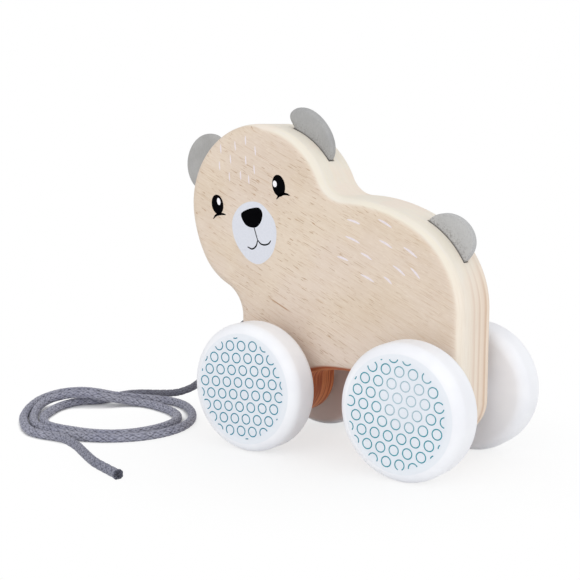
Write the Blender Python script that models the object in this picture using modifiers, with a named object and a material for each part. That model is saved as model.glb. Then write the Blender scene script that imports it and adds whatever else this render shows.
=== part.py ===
"""A pull-along bear toy, in metres, with +Z up and the toy facing -X.

A thick wooden plank is sawn to a bear's side outline.  Two ears and a tail of thin board stand
in slots in its edge.  Two dowel axles run through the legs, each glued into a pair of wheels, so
that each pair turns with its axle.  A soft cord comes out of a hole in the chest and lies in
loops on the floor.
"""

import math

import bmesh
import bpy
from mathutils import Matrix, Vector

MM = 0.001

# Clearances
FIT_GAP = 0.3 * MM
RUNNING_GAP = 0.5 * MM

# Wheels and axles
WHEEL_DIAMETER = 50.0 * MM
WHEEL_THICKNESS = 14.8 * MM
WHEEL_ROUNDING = 4.35 * MM
WHEEL_WALL = 5.2 * MM
WHEELBASE = 68.36 * MM
BOSS_DIAMETER = 16.0 * MM
BOSS_LENGTH = 4.9 * MM
AXLE_DIAMETER = 8.0 * MM

# Plank: thickness, and the rounding of its sawn edges
PLANK_THICKNESS = 26.0 * MM
PLANK_ROUNDING = 4.0 * MM

# Legs and the arch between them
LEG_WIDTH = 30.4 * MM
LEG_FORWARD_OF_AXLE = 1.9 * MM
LEG_CLEARANCE = 8.6 * MM
ARCH_HEIGHT = 32.0 * MM
ARCH_RADIUS = 50.0 * MM
ARCH_CORNER_RADIUS = 4.0 * MM

# Rump, back and neck: the rump's arc runs on into the flatter back
RUMP_RADIUS = 37.0 * MM
RUMP_LEVEL = 57.4 * MM
BACK_RADIUS = 65.9 * MM
BACK_START = 60.9
NAPE_RADIUS = 10.9 * MM
THROAT_RADIUS = 13.3 * MM

# Head: four arcs that run into each other, from the brow round the crown and the face to the chin
HEAD_TOP = 125.35 * MM
HEAD_BEHIND_CHEST = 7.37 * MM
BROW_RADIUS = 34.9 * MM
CROWN_RADIUS = 32.16 * MM
CROWN_START = 103.5
FACE_RADIUS = 48.0 * MM
FACE_START = 187.6
CHIN_RADIUS = 26.4 * MM
CHIN_START = 209.0

# Ears and tail.  Each is a round board whose lower part is let into the plank.  Its waist is the
# line across its widest place, with a half oval above it and another below, and its end rounding
# is the least radius of its outline.  Its seat is a direction from the centre of the arc that
# carries it, its stand-off is from that arc to the middle of the waist, and its lean is how far it
# turns away from standing square on the arc.
EAR_THICKNESS = 3.4 * MM
EAR_ROUNDING = 1.3 * MM
REAR_EAR = {
    "half_width": 13.1 * MM,
    "height": 8.4 * MM,
    "depth": 3.4 * MM,
    "end_rounding": 2.2 * MM,
    "seat": 58.0,
    "stand_off": 0.4 * MM,
    "lean": -15.6,
    "peg_shift": -3.0 * MM,
}
FRONT_EAR = {
    "half_width": 12.3 * MM,
    "height": 11.3 * MM,
    "depth": 8.0 * MM,
    "end_rounding": 0.0 * MM,
    "seat": 153.3,
    "stand_off": 3.7 * MM,
    "lean": 7.6,
    "peg_shift": 0.0 * MM,
}
TAIL_THICKNESS = 3.0 * MM
TAIL_ROUNDING = 0.3 * MM
TAIL = {
    "half_width": 10.3 * MM,
    "height": 8.5 * MM,
    "depth": 12.0 * MM,
    "end_rounding": 0.0 * MM,
    "seat": 46.4,
    "stand_off": 0.1 * MM,
    "lean": 17.5,
    "peg_shift": 0.0 * MM,
}
PEG_WIDTH = 9.0 * MM
PEG_DEPTH = 5.0 * MM
PEG_THICKNESS = 2.4 * MM
PEG_ROOT = 2.0 * MM

# Cord
CORD_DIAMETER = 3.4 * MM
CORD_HOLE_BELOW_THROAT = 5.0 * MM
CORD_HOLE_DEPTH = 9.0 * MM
LEAD_ROUTE = [
    (-58.0, 0.4, 43.7),
    (-61.6, 1.3, 41.3),
    (-65.2, 2.4, 37.4),
    (-74.0, 5.0, 28.3),
    (-84.0, 8.0, 19.2),
    (-94.7, 10.6, 10.7),
    (-103.4, 12.0, 6.5),
    (-110.4, 13.1, 4.4),
    (-117.4, 14.1, 3.1),
    (-124.0, 14.3, 2.2),
    (-129.4, 12.9, 1.8),
    (-133.3, 9.2, 1.7),
    (-134.8, 4.0, 1.7),
    (-134.8, -1.5, 1.7),
    (-136.0, -8.5, 1.7),
    (-141.0, -14.2, 1.7),
    (-142.4, -21.8, 1.7),
    (-141.0, -29.8, 1.7),
    (-137.4, -37.6, 1.7),
]
END_ROUTE = [
    (-119.9, -63.2, 1.7),
    (-112.4, -64.0, 1.7),
    (-106.3, -63.2, 1.7),
    (-100.0, -63.4, 1.7),
    (-89.6, -67.3, 1.7),
    (-79.8, -72.7, 1.7),
    (-68.0, -79.0, 1.7),
    (-57.0, -83.0, 1.7),
    (-51.0, -85.0, 1.7),
]

# The cord's loops: the distance from their centre is a constant and waves round it, and all of
# them change steadily from turn to turn.  Row k of the waves has k humps a turn: its cosine, its
# sine, and how much these change in a turn.  Angles count anticlockwise from +X, seen from above.
LOOPS_CENTRE = (-116.0 * MM, -27.0 * MM)
LOOPS_RADIUS = 24.17 * MM
LOOPS_GROWTH = 6.2 * MM
LOOPS_WAVES = [
    (4.67 * MM, -3.84 * MM, 1.30 * MM, 1.43 * MM),
    (3.00 * MM, 1.53 * MM, -0.27 * MM, 0.05 * MM),
    (-0.12 * MM, -0.88 * MM, -0.92 * MM, -0.25 * MM),
    (1.05 * MM, 0.86 * MM, 0.16 * MM, -0.94 * MM),
    (-1.32 * MM, 0.0 * MM, 0.70 * MM, 0.19 * MM),
]
LOOPS_COUNT_FROM = 180.0
LOOPS_START = 228.0
LOOPS_END = 963.0
POINTS_PER_LOOP = 24

# Where the later loops ride over the lead
LIFT_HEIGHT = 4.5 * MM
LIFT_ANGLES = (514.0, 871.0)
LIFT_HALF_SPAN = 69.0

# Fineness of the faceted surfaces
OUTLINE_STEP = 2.5 * MM
OUTLINE_TURN = 12.0
ARC_STEPS = 4
WHEEL_STEPS = 40
DOWEL_SIDES = 32
BOARD_STEPS = 40
ROUTE_SPACING = 2.2
SPLINE_STEPS = 24
HALF = 0.5

# Derived sizes
WHEEL_RADIUS = WHEEL_DIAMETER / 2
WHEEL_INNER_FACE = PLANK_THICKNESS / 2 + RUNNING_GAP + BOSS_LENGTH
WHEEL_OUTER_FACE = WHEEL_INNER_FACE + WHEEL_THICKNESS
AXLE_HALF_LENGTH = WHEEL_OUTER_FACE - WHEEL_WALL - FIT_GAP
AXLE_HOLE_RADIUS = AXLE_DIAMETER / 2 + FIT_GAP
AXLE_PLACES = {"front": -WHEELBASE / 2, "rear": WHEELBASE / 2}
CORD_RADIUS = CORD_DIAMETER / 2
CORD_HOLE_RADIUS = CORD_RADIUS + FIT_GAP

COLOURS = {
    "beech": ((0.72, 0.56, 0.42, 1.0), 0.6),
    "white_paint": ((0.80, 0.80, 0.82, 1.0), 0.35),
    "grey_paint": ((0.16, 0.16, 0.17, 1.0), 0.5),
    "cord": ((0.22, 0.22, 0.25, 1.0), 0.9),
}


def direction(degrees):
    """The unit vector at this angle in the outline's plane."""
    angle = math.radians(degrees)
    return Vector((math.cos(angle), math.sin(angle)))


# Scene, collections and materials


def clear_scene():
    for thing in list(bpy.data.objects):
        bpy.data.objects.remove(thing, do_unlink=True)


def new_collection(name):
    collection = bpy.data.collections.new(name)
    bpy.context.scene.collection.children.link(collection)
    return collection


def new_material(name):
    colour, roughness = COLOURS[name]
    material = bpy.data.materials.new(name)
    material.use_nodes = True
    shader = material.node_tree.nodes["Principled BSDF"]
    shader.inputs["Base Color"].default_value = colour
    shader.inputs["Roughness"].default_value = roughness
    shader.inputs["Metallic"].default_value = 0.0
    return material


def finish_part(part, material):
    """Gives a part its own copy of a material and smooth shading on its round faces."""
    part.data.materials.append(new_material(material))
    part.data.shade_smooth()
    part.data.set_sharp_from_angle(angle=math.radians(35))
    return part


def hide_cutter(cutter):
    cutter.hide_render = True
    cutter.display_type = "WIRE"
    return cutter


def mesh_object(name, mesh, collection):
    part = bpy.data.objects.new(name, mesh)
    collection.objects.link(part)
    return part


def box_cutter(name, size, matrix, collection):
    """A box of this size, centred on the matrix's origin."""
    shape = bmesh.new()
    bmesh.ops.create_cube(shape, size=1.0, matrix=matrix @ Matrix.Diagonal((*size, 1.0)))
    mesh = bpy.data.meshes.new(name)
    shape.to_mesh(mesh)
    shape.free()
    return hide_cutter(mesh_object(name, mesh, collection))


def rod_mesh(name, radius, length, turn):
    """A closed cylinder about the origin, its axis turned from +Z by a rotation matrix."""
    shape = bmesh.new()
    bmesh.ops.create_cone(
        shape, cap_ends=True, segments=DOWEL_SIDES, radius1=radius, radius2=radius, depth=length, matrix=turn
    )
    mesh = bpy.data.meshes.new(name)
    shape.to_mesh(mesh)
    shape.free()
    return mesh


def add_boolean(part, cutter, operation):
    modifier = part.modifiers.new(cutter.name, "BOOLEAN")
    modifier.object = cutter
    modifier.operation = operation


def add_edge_rounding(part, width):
    modifier = part.modifiers.new("edge rounding", "BEVEL")
    modifier.width = width
    modifier.segments = 3
    modifier.limit_method = "ANGLE"
    modifier.angle_limit = math.radians(40)


def curve_to_mesh_object(curve_object, name, collection):
    """Turns a curve object into a closed mesh object and removes the curve."""
    bpy.context.view_layer.update()
    depsgraph = bpy.context.evaluated_depsgraph_get()
    mesh = bpy.data.meshes.new_from_object(curve_object.evaluated_get(depsgraph))
    shape = bmesh.new()
    shape.from_mesh(mesh)
    bmesh.ops.remove_doubles(shape, verts=shape.verts, dist=0.001 * MM)
    bmesh.ops.dissolve_limit(shape, angle_limit=math.radians(0.5), verts=shape.verts, edges=shape.edges)
    shape.to_mesh(mesh)
    shape.free()
    part = mesh_object(name, mesh, collection)
    part.matrix_world = curve_object.matrix_world
    bpy.data.objects.remove(curve_object, do_unlink=True)
    return part


def flat_board(name, outline, thickness, matrix, collection):
    """A board cut to a closed outline.  The matrix carries the outline's plane to the toy."""
    curve = bpy.data.curves.new(name, "CURVE")
    curve.dimensions = "2D"
    curve.fill_mode = "BOTH"
    curve.extrude = thickness * HALF
    spline = curve.splines.new("POLY")
    spline.points.add(len(outline) - 1)
    for place, point in zip(spline.points, outline):
        place.co = (point.x, point.y, 0.0, 1.0)
    spline.use_cyclic_u = True
    guide = bpy.data.objects.new(name + "_outline", curve)
    collection.objects.link(guide)
    guide.matrix_world = matrix
    return curve_to_mesh_object(guide, name, collection)


def upright(centre, lean):
    """Stands an outline's plane up in XZ at a point, its own Y axis leaning from +Z by `lean` degrees."""
    place = Matrix.Translation((centre.x, 0.0, centre.y))
    return place @ Matrix.Rotation(math.radians(-lean), 4, "Y") @ Matrix.Rotation(math.radians(90), 4, "X")


# The plank's outline, as a belt that runs round a chain of circles


def circle_beyond(previous, radius, degrees):
    """The centre of an arc that carries on from another one, with a common tangent at this angle."""
    centre, previous_radius = previous
    return centre + (previous_radius - radius) * direction(degrees)


def centre_touching(first, second, radius):
    """The centre, left of the way from the first to the second, of a circle that touches both from outside."""
    (first_centre, first_radius), (second_centre, second_radius) = first, second
    between = second_centre - first_centre
    near = first_radius + radius
    far = second_radius + radius
    along = (between.length_squared + near**2 - far**2) / (2 * between.length)
    across = math.sqrt(near**2 - along**2)
    forward = between.normalized()
    sideways = Vector((-forward.y, forward.x))
    return first_centre + along * forward + across * sideways


def bear_circles():
    """The circles round which the outline runs, anticlockwise as seen from the -Y side.

    Each is (name, centre, radius, side), where side is 1 for a bulge and -1 for a hollow.
    """
    leg_radius = LEG_WIDTH / 2
    leg_level = LEG_CLEARANCE + leg_radius
    front_leg = Vector((AXLE_PLACES["front"] - LEG_FORWARD_OF_AXLE, leg_level))
    rear_leg = Vector((AXLE_PLACES["rear"] - LEG_FORWARD_OF_AXLE, leg_level))
    chest = front_leg.x - leg_radius
    rear = rear_leg.x + leg_radius

    brow = Vector((chest + HEAD_BEHIND_CHEST, HEAD_TOP - BROW_RADIUS))
    crown = circle_beyond((brow, BROW_RADIUS), CROWN_RADIUS, CROWN_START)
    face = circle_beyond((crown, CROWN_RADIUS), FACE_RADIUS, FACE_START)
    chin = circle_beyond((face, FACE_RADIUS), CHIN_RADIUS, CHIN_START)
    throat_x = chest - THROAT_RADIUS
    throat_reach = CHIN_RADIUS + THROAT_RADIUS
    throat = Vector((throat_x, chin.y - math.sqrt(throat_reach**2 - (chin.x - throat_x) ** 2)))

    arch = Vector(((front_leg.x + rear_leg.x) / 2, ARCH_HEIGHT - ARCH_RADIUS))
    corner_reach = ARCH_RADIUS - ARCH_CORNER_RADIUS
    front_corner_x = front_leg.x + leg_radius + ARCH_CORNER_RADIUS
    rear_corner_x = rear_leg.x - leg_radius - ARCH_CORNER_RADIUS
    front_corner = Vector((front_corner_x, arch.y + math.sqrt(corner_reach**2 - (front_corner_x - arch.x) ** 2)))
    rear_corner = Vector((rear_corner_x, arch.y + math.sqrt(corner_reach**2 - (rear_corner_x - arch.x) ** 2)))

    rump = Vector((rear - RUMP_RADIUS, RUMP_LEVEL))
    back = circle_beyond((rump, RUMP_RADIUS), BACK_RADIUS, BACK_START)
    nape = centre_touching((brow, BROW_RADIUS), (back, BACK_RADIUS), NAPE_RADIUS)
    return [
        ("brow", brow, BROW_RADIUS, 1),
        ("crown", crown, CROWN_RADIUS, 1),
        ("face", face, FACE_RADIUS, 1),
        ("chin", chin, CHIN_RADIUS, 1),
        ("throat", throat, THROAT_RADIUS, -1),
        ("front leg", front_leg, leg_radius, 1),
        ("front corner", front_corner, ARCH_CORNER_RADIUS, -1),
        ("arch", arch, ARCH_RADIUS, -1),
        ("rear corner", rear_corner, ARCH_CORNER_RADIUS, -1),
        ("rear leg", rear_leg, leg_radius, 1),
        ("rump", rump, RUMP_RADIUS, 1),
        ("back", back, BACK_RADIUS, 1),
        ("nape", nape, NAPE_RADIUS, -1),
    ]


def tangent_normal(first, second):
    """The angle of the outward normal on the belt's straight run from one circle to the next."""
    _, first_centre, first_radius, first_side = first
    _, second_centre, second_radius, second_side = second
    between = second_centre - first_centre
    share = (first_side * first_radius - second_side * second_radius) / between.length
    return math.atan2(between.y, between.x) - math.acos(max(-1.0, min(1.0, share)))


def belt_outline(circles):
    """Points along a belt that runs round circles, with arcs on them and straight runs between."""
    outline = []
    count = len(circles)
    for index, circle in enumerate(circles):
        _, centre, radius, side = circle
        start = tangent_normal(circles[index - 1], circle)
        stop = tangent_normal(circle, circles[(index + 1) % count])
        sweep = (stop - start) % (2 * math.pi) if side > 0 else -((start - stop) % (2 * math.pi))
        steps = max(1, math.ceil(abs(sweep) * radius / OUTLINE_STEP))
        steps = max(steps, math.ceil(math.degrees(abs(sweep)) / OUTLINE_TURN))
        for step in range(steps + 1):
            angle = start + sweep * step / steps
            point = centre + side * radius * Vector((math.cos(angle), math.sin(angle)))
            if not outline or (point - outline[-1]).length > 0.05 * MM:
                outline.append(point)
    if (outline[0] - outline[-1]).length < 0.05 * MM:
        outline.pop()
    return outline


# Ears and tail


def board_outline(board, spare=0.0):
    """A half oval above the waist and one below it, drawn out by `spare`, with its top along +Y.

    Both are drawn in by the end rounding first, and then moved out by it square to themselves.
    """
    outline = []
    rounding = board["end_rounding"]
    width = board["half_width"] - rounding
    for step in range(BOARD_STEPS):
        turn = direction(360.0 * step / BOARD_STEPS)
        reach = (board["height"] if turn.y > 0 else board["depth"]) - rounding
        place = Vector((turn.x * math.sqrt(width), turn.y * math.sqrt(reach))).normalized()
        out = Vector((turn.x * math.sqrt(reach), turn.y * math.sqrt(width))).normalized()
        outline.append(Vector((width * place.x, reach * place.y)) + (rounding + spare) * out)
    return outline


def board_place(board, arc):
    """The matrix that stands a board on the arc that carries it."""
    centre, radius = arc
    middle = centre + (radius + board["stand_off"]) * direction(board["seat"])
    return upright(middle, board["seat"] + board["lean"] - 90.0)


def make_board(name, board, arc, thickness, rounding, parts, cutters):
    """A let-in board with its peg, and the cutter that makes room for both in the plank."""
    place = board_place(board, arc)
    part = flat_board(name, board_outline(board), thickness, place, parts)
    add_edge_rounding(part, rounding)

    peg_height = PEG_DEPTH + PEG_ROOT
    peg_middle = -board["depth"] + PEG_ROOT - peg_height / 2
    peg_place = place @ Matrix.Translation((board["peg_shift"], peg_middle, 0.0))
    peg = box_cutter(name + "_peg", (PEG_WIDTH, peg_height, PEG_THICKNESS), peg_place, cutters)
    add_boolean(part, peg, "UNION")

    mortise_size = (PEG_WIDTH + 2 * FIT_GAP, peg_height + 2 * FIT_GAP, PEG_THICKNESS + 2 * FIT_GAP)
    mortise = box_cutter(name + "_mortise", mortise_size, peg_place, cutters)
    slot = flat_board(name + "_slot", board_outline(board, FIT_GAP), thickness + 2 * FIT_GAP, place, cutters)
    hide_cutter(slot)
    return part, (mortise, slot)


# Wheels and axles


def arc_points(centre, radius, start, stop):
    """Points on an arc, as (distance from the axis, height) pairs."""
    points = []
    for step in range(ARC_STEPS + 1):
        turn = direction(start + (stop - start) * step / ARC_STEPS)
        points.append(Vector(centre) + radius * turn)
    return points


def wheel_profile():
    """Half the section of a wheel, from the middle of its outer face to the floor of its bore."""
    rim = WHEEL_RADIUS - WHEEL_ROUNDING
    bore = AXLE_DIAMETER / 2 + FIT_GAP
    profile = [Vector((0.0, WHEEL_THICKNESS))]
    profile += arc_points((rim, WHEEL_THICKNESS - WHEEL_ROUNDING), WHEEL_ROUNDING, 90.0, 0.0)
    profile += arc_points((rim, WHEEL_ROUNDING), WHEEL_ROUNDING, 0.0, -90.0)
    profile.append(Vector((BOSS_DIAMETER / 2, 0.0)))
    profile.append(Vector((BOSS_DIAMETER / 2, -BOSS_LENGTH)))
    profile.append(Vector((bore, -BOSS_LENGTH)))
    profile.append(Vector((bore, WHEEL_THICKNESS - WHEEL_WALL)))
    profile.append(Vector((0.0, WHEEL_THICKNESS - WHEEL_WALL)))
    return profile


def make_wheel(name, side, parent, parts):
    """A wheel turned from its profile, its outer face towards +Y for side 1 and -Y for side -1."""
    turn = Matrix.Rotation(math.radians(-90.0 * side), 4, "X")
    lift = Matrix.Translation((0.0, 0.0, WHEEL_INNER_FACE))
    mesh = bpy.data.meshes.new(name)
    profile = wheel_profile()
    points = [(point.x, 0.0, point.y) for point in profile]
    edges = [(index, index + 1) for index in range(len(points) - 1)]
    mesh.from_pydata(points, edges, [])
    mesh.transform(lift)
    part = mesh_object(name, mesh, parts)
    part.parent = parent
    part.matrix_local = turn
    screw = part.modifiers.new("turning", "SCREW")
    screw.steps = WHEEL_STEPS
    screw.render_steps = WHEEL_STEPS
    screw.use_merge_vertices = True
    screw.merge_threshold = 0.01 * MM
    screw.use_smooth_shade = True
    return part


def make_wheelset(place, parts):
    """An axle and its two wheels, on an empty that stands on their common axis."""
    axis = bpy.data.objects.new(place + "_wheelset", None)
    axis.location = (AXLE_PLACES[place], 0.0, WHEEL_RADIUS)
    parts.objects.link(axis)
    along_y = Matrix.Rotation(math.radians(90.0), 4, "X")
    axle_mesh = rod_mesh(place + "_axle", AXLE_DIAMETER / 2, 2 * AXLE_HALF_LENGTH, along_y)
    axle = mesh_object(place + "_axle", axle_mesh, parts)
    axle.parent = axis
    finish_part(axle, "beech")
    for side, word in ((-1, "left"), (1, "right")):
        wheel = make_wheel(f"{place}_{word}_wheel", side, axis, parts)
        finish_part(wheel, "white_paint")
    return axis


# Cord


def smooth_route(points, spacing):
    """Points at even steps along a smooth curve through the route's points."""
    fine = []
    for index in range(len(points) - 1):
        near, far = points[index], points[index + 1]
        before = points[index - 1] if index > 0 else 2 * near - far
        after = points[index + 2] if index + 2 < len(points) else 2 * far - near
        for step in range(SPLINE_STEPS):
            t = step / SPLINE_STEPS
            slope_near = (far - before) * HALF
            slope_far = (after - near) * HALF
            fine.append(
                near * (2 * t**3 - 3 * t**2 + 1)
                + slope_near * (t**3 - 2 * t**2 + t)
                + far * (3 * t**2 - 2 * t**3)
                + slope_far * (t**3 - t**2)
            )
    fine.append(points[-1])
    lengths = [0.0]
    for near, far in zip(fine, fine[1:]):
        lengths.append(lengths[-1] + (far - near).length)
    count = max(1, round(lengths[-1] / spacing))
    even = []
    index = 0
    for step in range(count + 1):
        reach = lengths[-1] * step / count
        while index < len(fine) - 2 and lengths[index + 1] < reach:
            index += 1
        share = (reach - lengths[index]) / (lengths[index + 1] - lengths[index])
        even.append(fine[index].lerp(fine[index + 1], min(1.0, share)))
    return even


def loop_point(degrees):
    """The cord's centre on the loops at this angle."""
    turns = (degrees - LOOPS_COUNT_FROM) / 360.0
    radius = LOOPS_RADIUS + LOOPS_GROWTH * turns
    for humps, (cosine, sine, cosine_growth, sine_growth) in enumerate(LOOPS_WAVES, start=1):
        wave = direction(humps * degrees)
        radius += (cosine + cosine_growth * turns) * wave.x + (sine + sine_growth * turns) * wave.y
    out = direction(degrees)
    lift = 0.0
    for crossing in LIFT_ANGLES:
        share = min(1.0, abs(degrees - crossing) / LIFT_HALF_SPAN)
        lift += LIFT_HEIGHT * HALF * (1.0 + math.cos(math.pi * share))
    return Vector((LOOPS_CENTRE[0] + radius * out.x, LOOPS_CENTRE[1] + radius * out.y, CORD_RADIUS + lift))


def loops_points():
    """The loops' centre line, with a straight run of one diameter at both ends."""
    step = 360.0 / POINTS_PER_LOOP
    count = round((LOOPS_END - LOOPS_START) / step)
    points = [loop_point(LOOPS_START + step * index) for index in range(count + 1)]
    first_run = (points[0] - points[1]).normalized() * CORD_DIAMETER
    last_run = (points[-1] - points[-2]).normalized() * CORD_DIAMETER
    return [points[0] + first_run] + points + [points[-1] + last_run]


def lead_points(hole, loops):
    """From the floor of the hole in the chest, down to the floor and up to the loops' first end."""
    into_loops = (loops[1] - loops[0]).normalized()
    end = loops[0] - FIT_GAP * into_loops
    run = Vector((-CORD_DIAMETER, 0.0, 0.0))
    inside = hole + Vector((CORD_HOLE_DEPTH - FIT_GAP, 0.0, 0.0))
    route = [Vector(point) * MM for point in LEAD_ROUTE]
    middle = smooth_route([hole + run] + route + [end - CORD_DIAMETER * into_loops], ROUTE_SPACING * CORD_DIAMETER)
    return [inside, hole] + middle + [end]


def end_points(loops):
    """From the loops' last end to the cut end of the cord."""
    out_of_loops = (loops[-1] - loops[-2]).normalized()
    start = loops[-1] + FIT_GAP * out_of_loops
    route = [Vector(point) * MM for point in END_ROUTE]
    last_run = (route[-1] - route[-2]).normalized() * CORD_DIAMETER
    middle = smooth_route([start + CORD_DIAMETER * out_of_loops] + route, ROUTE_SPACING * CORD_DIAMETER)
    return [start] + middle + [middle[-1] + last_run]


def make_cord(name, points, roundness, parts):
    curve = bpy.data.curves.new(name, "CURVE")
    curve.dimensions = "3D"
    curve.bevel_depth = CORD_RADIUS
    curve.bevel_resolution = roundness
    curve.use_fill_caps = True
    spline = curve.splines.new("POLY")
    spline.points.add(len(points) - 1)
    for place, point in zip(spline.points, points):
        place.co = (*point, 1.0)
    part = bpy.data.objects.new(name, curve)
    parts.objects.link(part)
    part.data.materials.append(new_material("cord"))
    return part


def gap_between(point, start, end):
    """The distance from a point to a straight run between two others."""
    run = end - start
    share = max(0.0, min(1.0, (point - start).dot(run) / run.length_squared))
    return (point - start - share * run).length


def least_gap(points, others, skip):
    """The least gap between two stretches of cord, or of one with itself past `skip` points."""
    least = math.inf
    for index, point in enumerate(points):
        for other in range(len(others) - 1):
            if skip and abs(other - index) < skip:
                continue
            least = min(least, gap_between(point, others[other], others[other + 1]))
    return least - CORD_DIAMETER


# The whole toy


def main():
    clear_scene()
    parts = new_collection("pull_along_bear")
    cutters = new_collection("cutters")
    circles = bear_circles()
    arcs = {name: (centre, radius) for name, centre, radius, _ in circles}

    body = flat_board("bear_body", belt_outline(circles), PLANK_THICKNESS, upright(Vector((0.0, 0.0)), 0.0), parts)
    add_edge_rounding(body, PLANK_ROUNDING)
    boards = [
        ("front_ear", FRONT_EAR, arcs["crown"], EAR_THICKNESS, EAR_ROUNDING),
        ("rear_ear", REAR_EAR, arcs["brow"], EAR_THICKNESS, EAR_ROUNDING),
        ("tail", TAIL, arcs["rump"], TAIL_THICKNESS, TAIL_ROUNDING),
    ]
    for name, board, arc, thickness, rounding in boards:
        part, rooms = make_board(name, board, arc, thickness, rounding, parts, cutters)
        finish_part(part, "grey_paint")
        for room in rooms:
            add_boolean(body, room, "DIFFERENCE")

    along_y = Matrix.Rotation(math.radians(90.0), 4, "X")
    for place, axle_x in AXLE_PLACES.items():
        bore_mesh = rod_mesh(place + "_bore", AXLE_HOLE_RADIUS, 2 * PLANK_THICKNESS, along_y)
        bore = hide_cutter(mesh_object(place + "_bore", bore_mesh, cutters))
        bore.location = (axle_x, 0.0, WHEEL_RADIUS)
        add_boolean(body, bore, "DIFFERENCE")

    throat_centre, throat_radius = arcs["throat"]
    chest_x = throat_centre.x + throat_radius
    hole = Vector((chest_x, 0.0, throat_centre.y - CORD_HOLE_BELOW_THROAT))
    along_x = Matrix.Rotation(math.radians(90.0), 4, "Y")
    drill_mesh = rod_mesh("cord_hole", CORD_HOLE_RADIUS, 2 * CORD_HOLE_DEPTH, along_x)
    drill = hide_cutter(mesh_object("cord_hole", drill_mesh, cutters))
    drill.location = hole
    add_boolean(body, drill, "DIFFERENCE")
    finish_part(body, "beech")

    for place in AXLE_PLACES:
        make_wheelset(place, parts)

    loops = loops_points()
    lead = lead_points(hole, loops)
    end = end_points(loops)
    make_cord("cord_lead", lead, 2, parts)
    make_cord("cord_loops", loops, 1, parts)
    make_cord("cord_end", end, 2, parts)
    print("Least gap of the loops to themselves, mm:", round(least_gap(loops, loops, POINTS_PER_LOOP // 2) / MM, 2))
    print("Least gap of the lead to the later loops, mm:", round(least_gap(lead, loops[8:], 0) / MM, 2))
    print("Least gap of the end to the inner loops, mm:", round(least_gap(end, loops[:-8], 0) / MM, 2))
    put_middle_on_origin(parts)


def put_middle_on_origin(parts):
    """Moves the toy along X so that the middle of its length, without the cord, is at the origin."""
    bpy.context.view_layer.update()
    depsgraph = bpy.context.evaluated_depsgraph_get()
    reach = []
    for part in parts.objects:
        if part.type == "MESH":
            solid = part.evaluated_get(depsgraph).to_mesh()
            reach += [(part.matrix_world @ vertex.co).x for vertex in solid.vertices]
    middle = (min(reach) + max(reach)) / 2
    for thing in bpy.data.objects:
        if thing.parent is None:
            thing.location.x -= middle
    print("Moved along X, mm:", round(-middle / MM, 3))


main()
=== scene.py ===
# %% [markdown]
# # A wooden bear on wheels, pulled by a cord
# The toy is sawn from one thick plank. Its wheels and axles are turned, its ears and tail are
# thin boards, and its cord is braided. The imported model gives every place and size, so the first
# step loads it and puts each of its parts into the model's frame.

# %% Load the imported model
import math

import bpy
import numpy as np
from mathutils import Matrix, Vector


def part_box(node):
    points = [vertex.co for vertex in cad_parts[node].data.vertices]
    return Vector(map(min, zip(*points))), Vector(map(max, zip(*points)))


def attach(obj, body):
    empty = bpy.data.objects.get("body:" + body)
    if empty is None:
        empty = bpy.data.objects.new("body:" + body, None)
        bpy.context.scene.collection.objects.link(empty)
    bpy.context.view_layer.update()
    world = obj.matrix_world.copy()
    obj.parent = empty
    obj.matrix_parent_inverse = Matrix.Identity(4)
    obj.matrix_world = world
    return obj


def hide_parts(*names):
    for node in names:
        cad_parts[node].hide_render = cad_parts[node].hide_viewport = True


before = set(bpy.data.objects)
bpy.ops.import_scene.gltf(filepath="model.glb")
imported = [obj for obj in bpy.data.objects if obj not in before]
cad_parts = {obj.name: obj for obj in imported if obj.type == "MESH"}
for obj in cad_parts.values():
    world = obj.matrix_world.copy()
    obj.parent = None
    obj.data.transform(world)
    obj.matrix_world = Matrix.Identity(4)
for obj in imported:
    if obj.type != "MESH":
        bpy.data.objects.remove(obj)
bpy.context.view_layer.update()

MM = 0.001

# %% [markdown]
# ## Where things are
# Most places are written in millimetres from the point on the floor midway between the two
# axles. The axles' own boxes say where that point is, so nothing here has to be fitted by eye.

# %% Find the axles
def middle_of(node):
    """The middle of a node's box."""
    low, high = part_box(node)
    return (low + high) / 2


front_axle = middle_of("front_axle")
rear_axle = middle_of("rear_axle")
AXLES = {"front": front_axle, "rear": rear_axle}
SIDES = {"left": -1, "right": 1}
MIDDLE_X = (front_axle.x + rear_axle.x) / 2
WHEELBASE = rear_axle.x - front_axle.x
wheel_low, wheel_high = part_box("rear_right_wheel")
WHEEL_RADIUS = (wheel_high.z - wheel_low.z) / 2
WHEEL_OUTER_FACE = wheel_high.y
body_low, body_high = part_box("bear_body")
HALF_PLANK = (body_high.y - body_low.y) / 2


def from_middle(points):
    """Millimetres from the point midway between the axles, turned into metres in the model's frame."""
    return np.asarray(points, float) * MM + np.array((MIDDLE_X, 0.0, 0.0))


print("Wheelbase, mm:", round(WHEELBASE / MM, 2), " plank, mm:", round(2 * HALF_PLANK / MM, 2))

# %% [markdown]
# ## Camera
# The photograph was taken from low down in front of the bear's left side. The camera's place,
# its turn round the toy and its lens were worked out from the wheels, whose circles show as
# ellipses, so the picture has the same perspective as the photograph.

# %% Set up the camera
CAMERA_PLACE_MM = (231.685, -371.638, 124.197)
CAMERA_TURN = math.radians(35.716)
CAMERA_RISE = math.radians(8.07)
CAMERA_ROLL = math.radians(-0.066)
LENS_MM = 71.46
SENSOR_MM = 36.0


def add_object(name, data):
    """A new object with this data, in the scene."""
    made = bpy.data.objects.new(name, data)
    bpy.context.scene.collection.objects.link(made)
    return made


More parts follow.
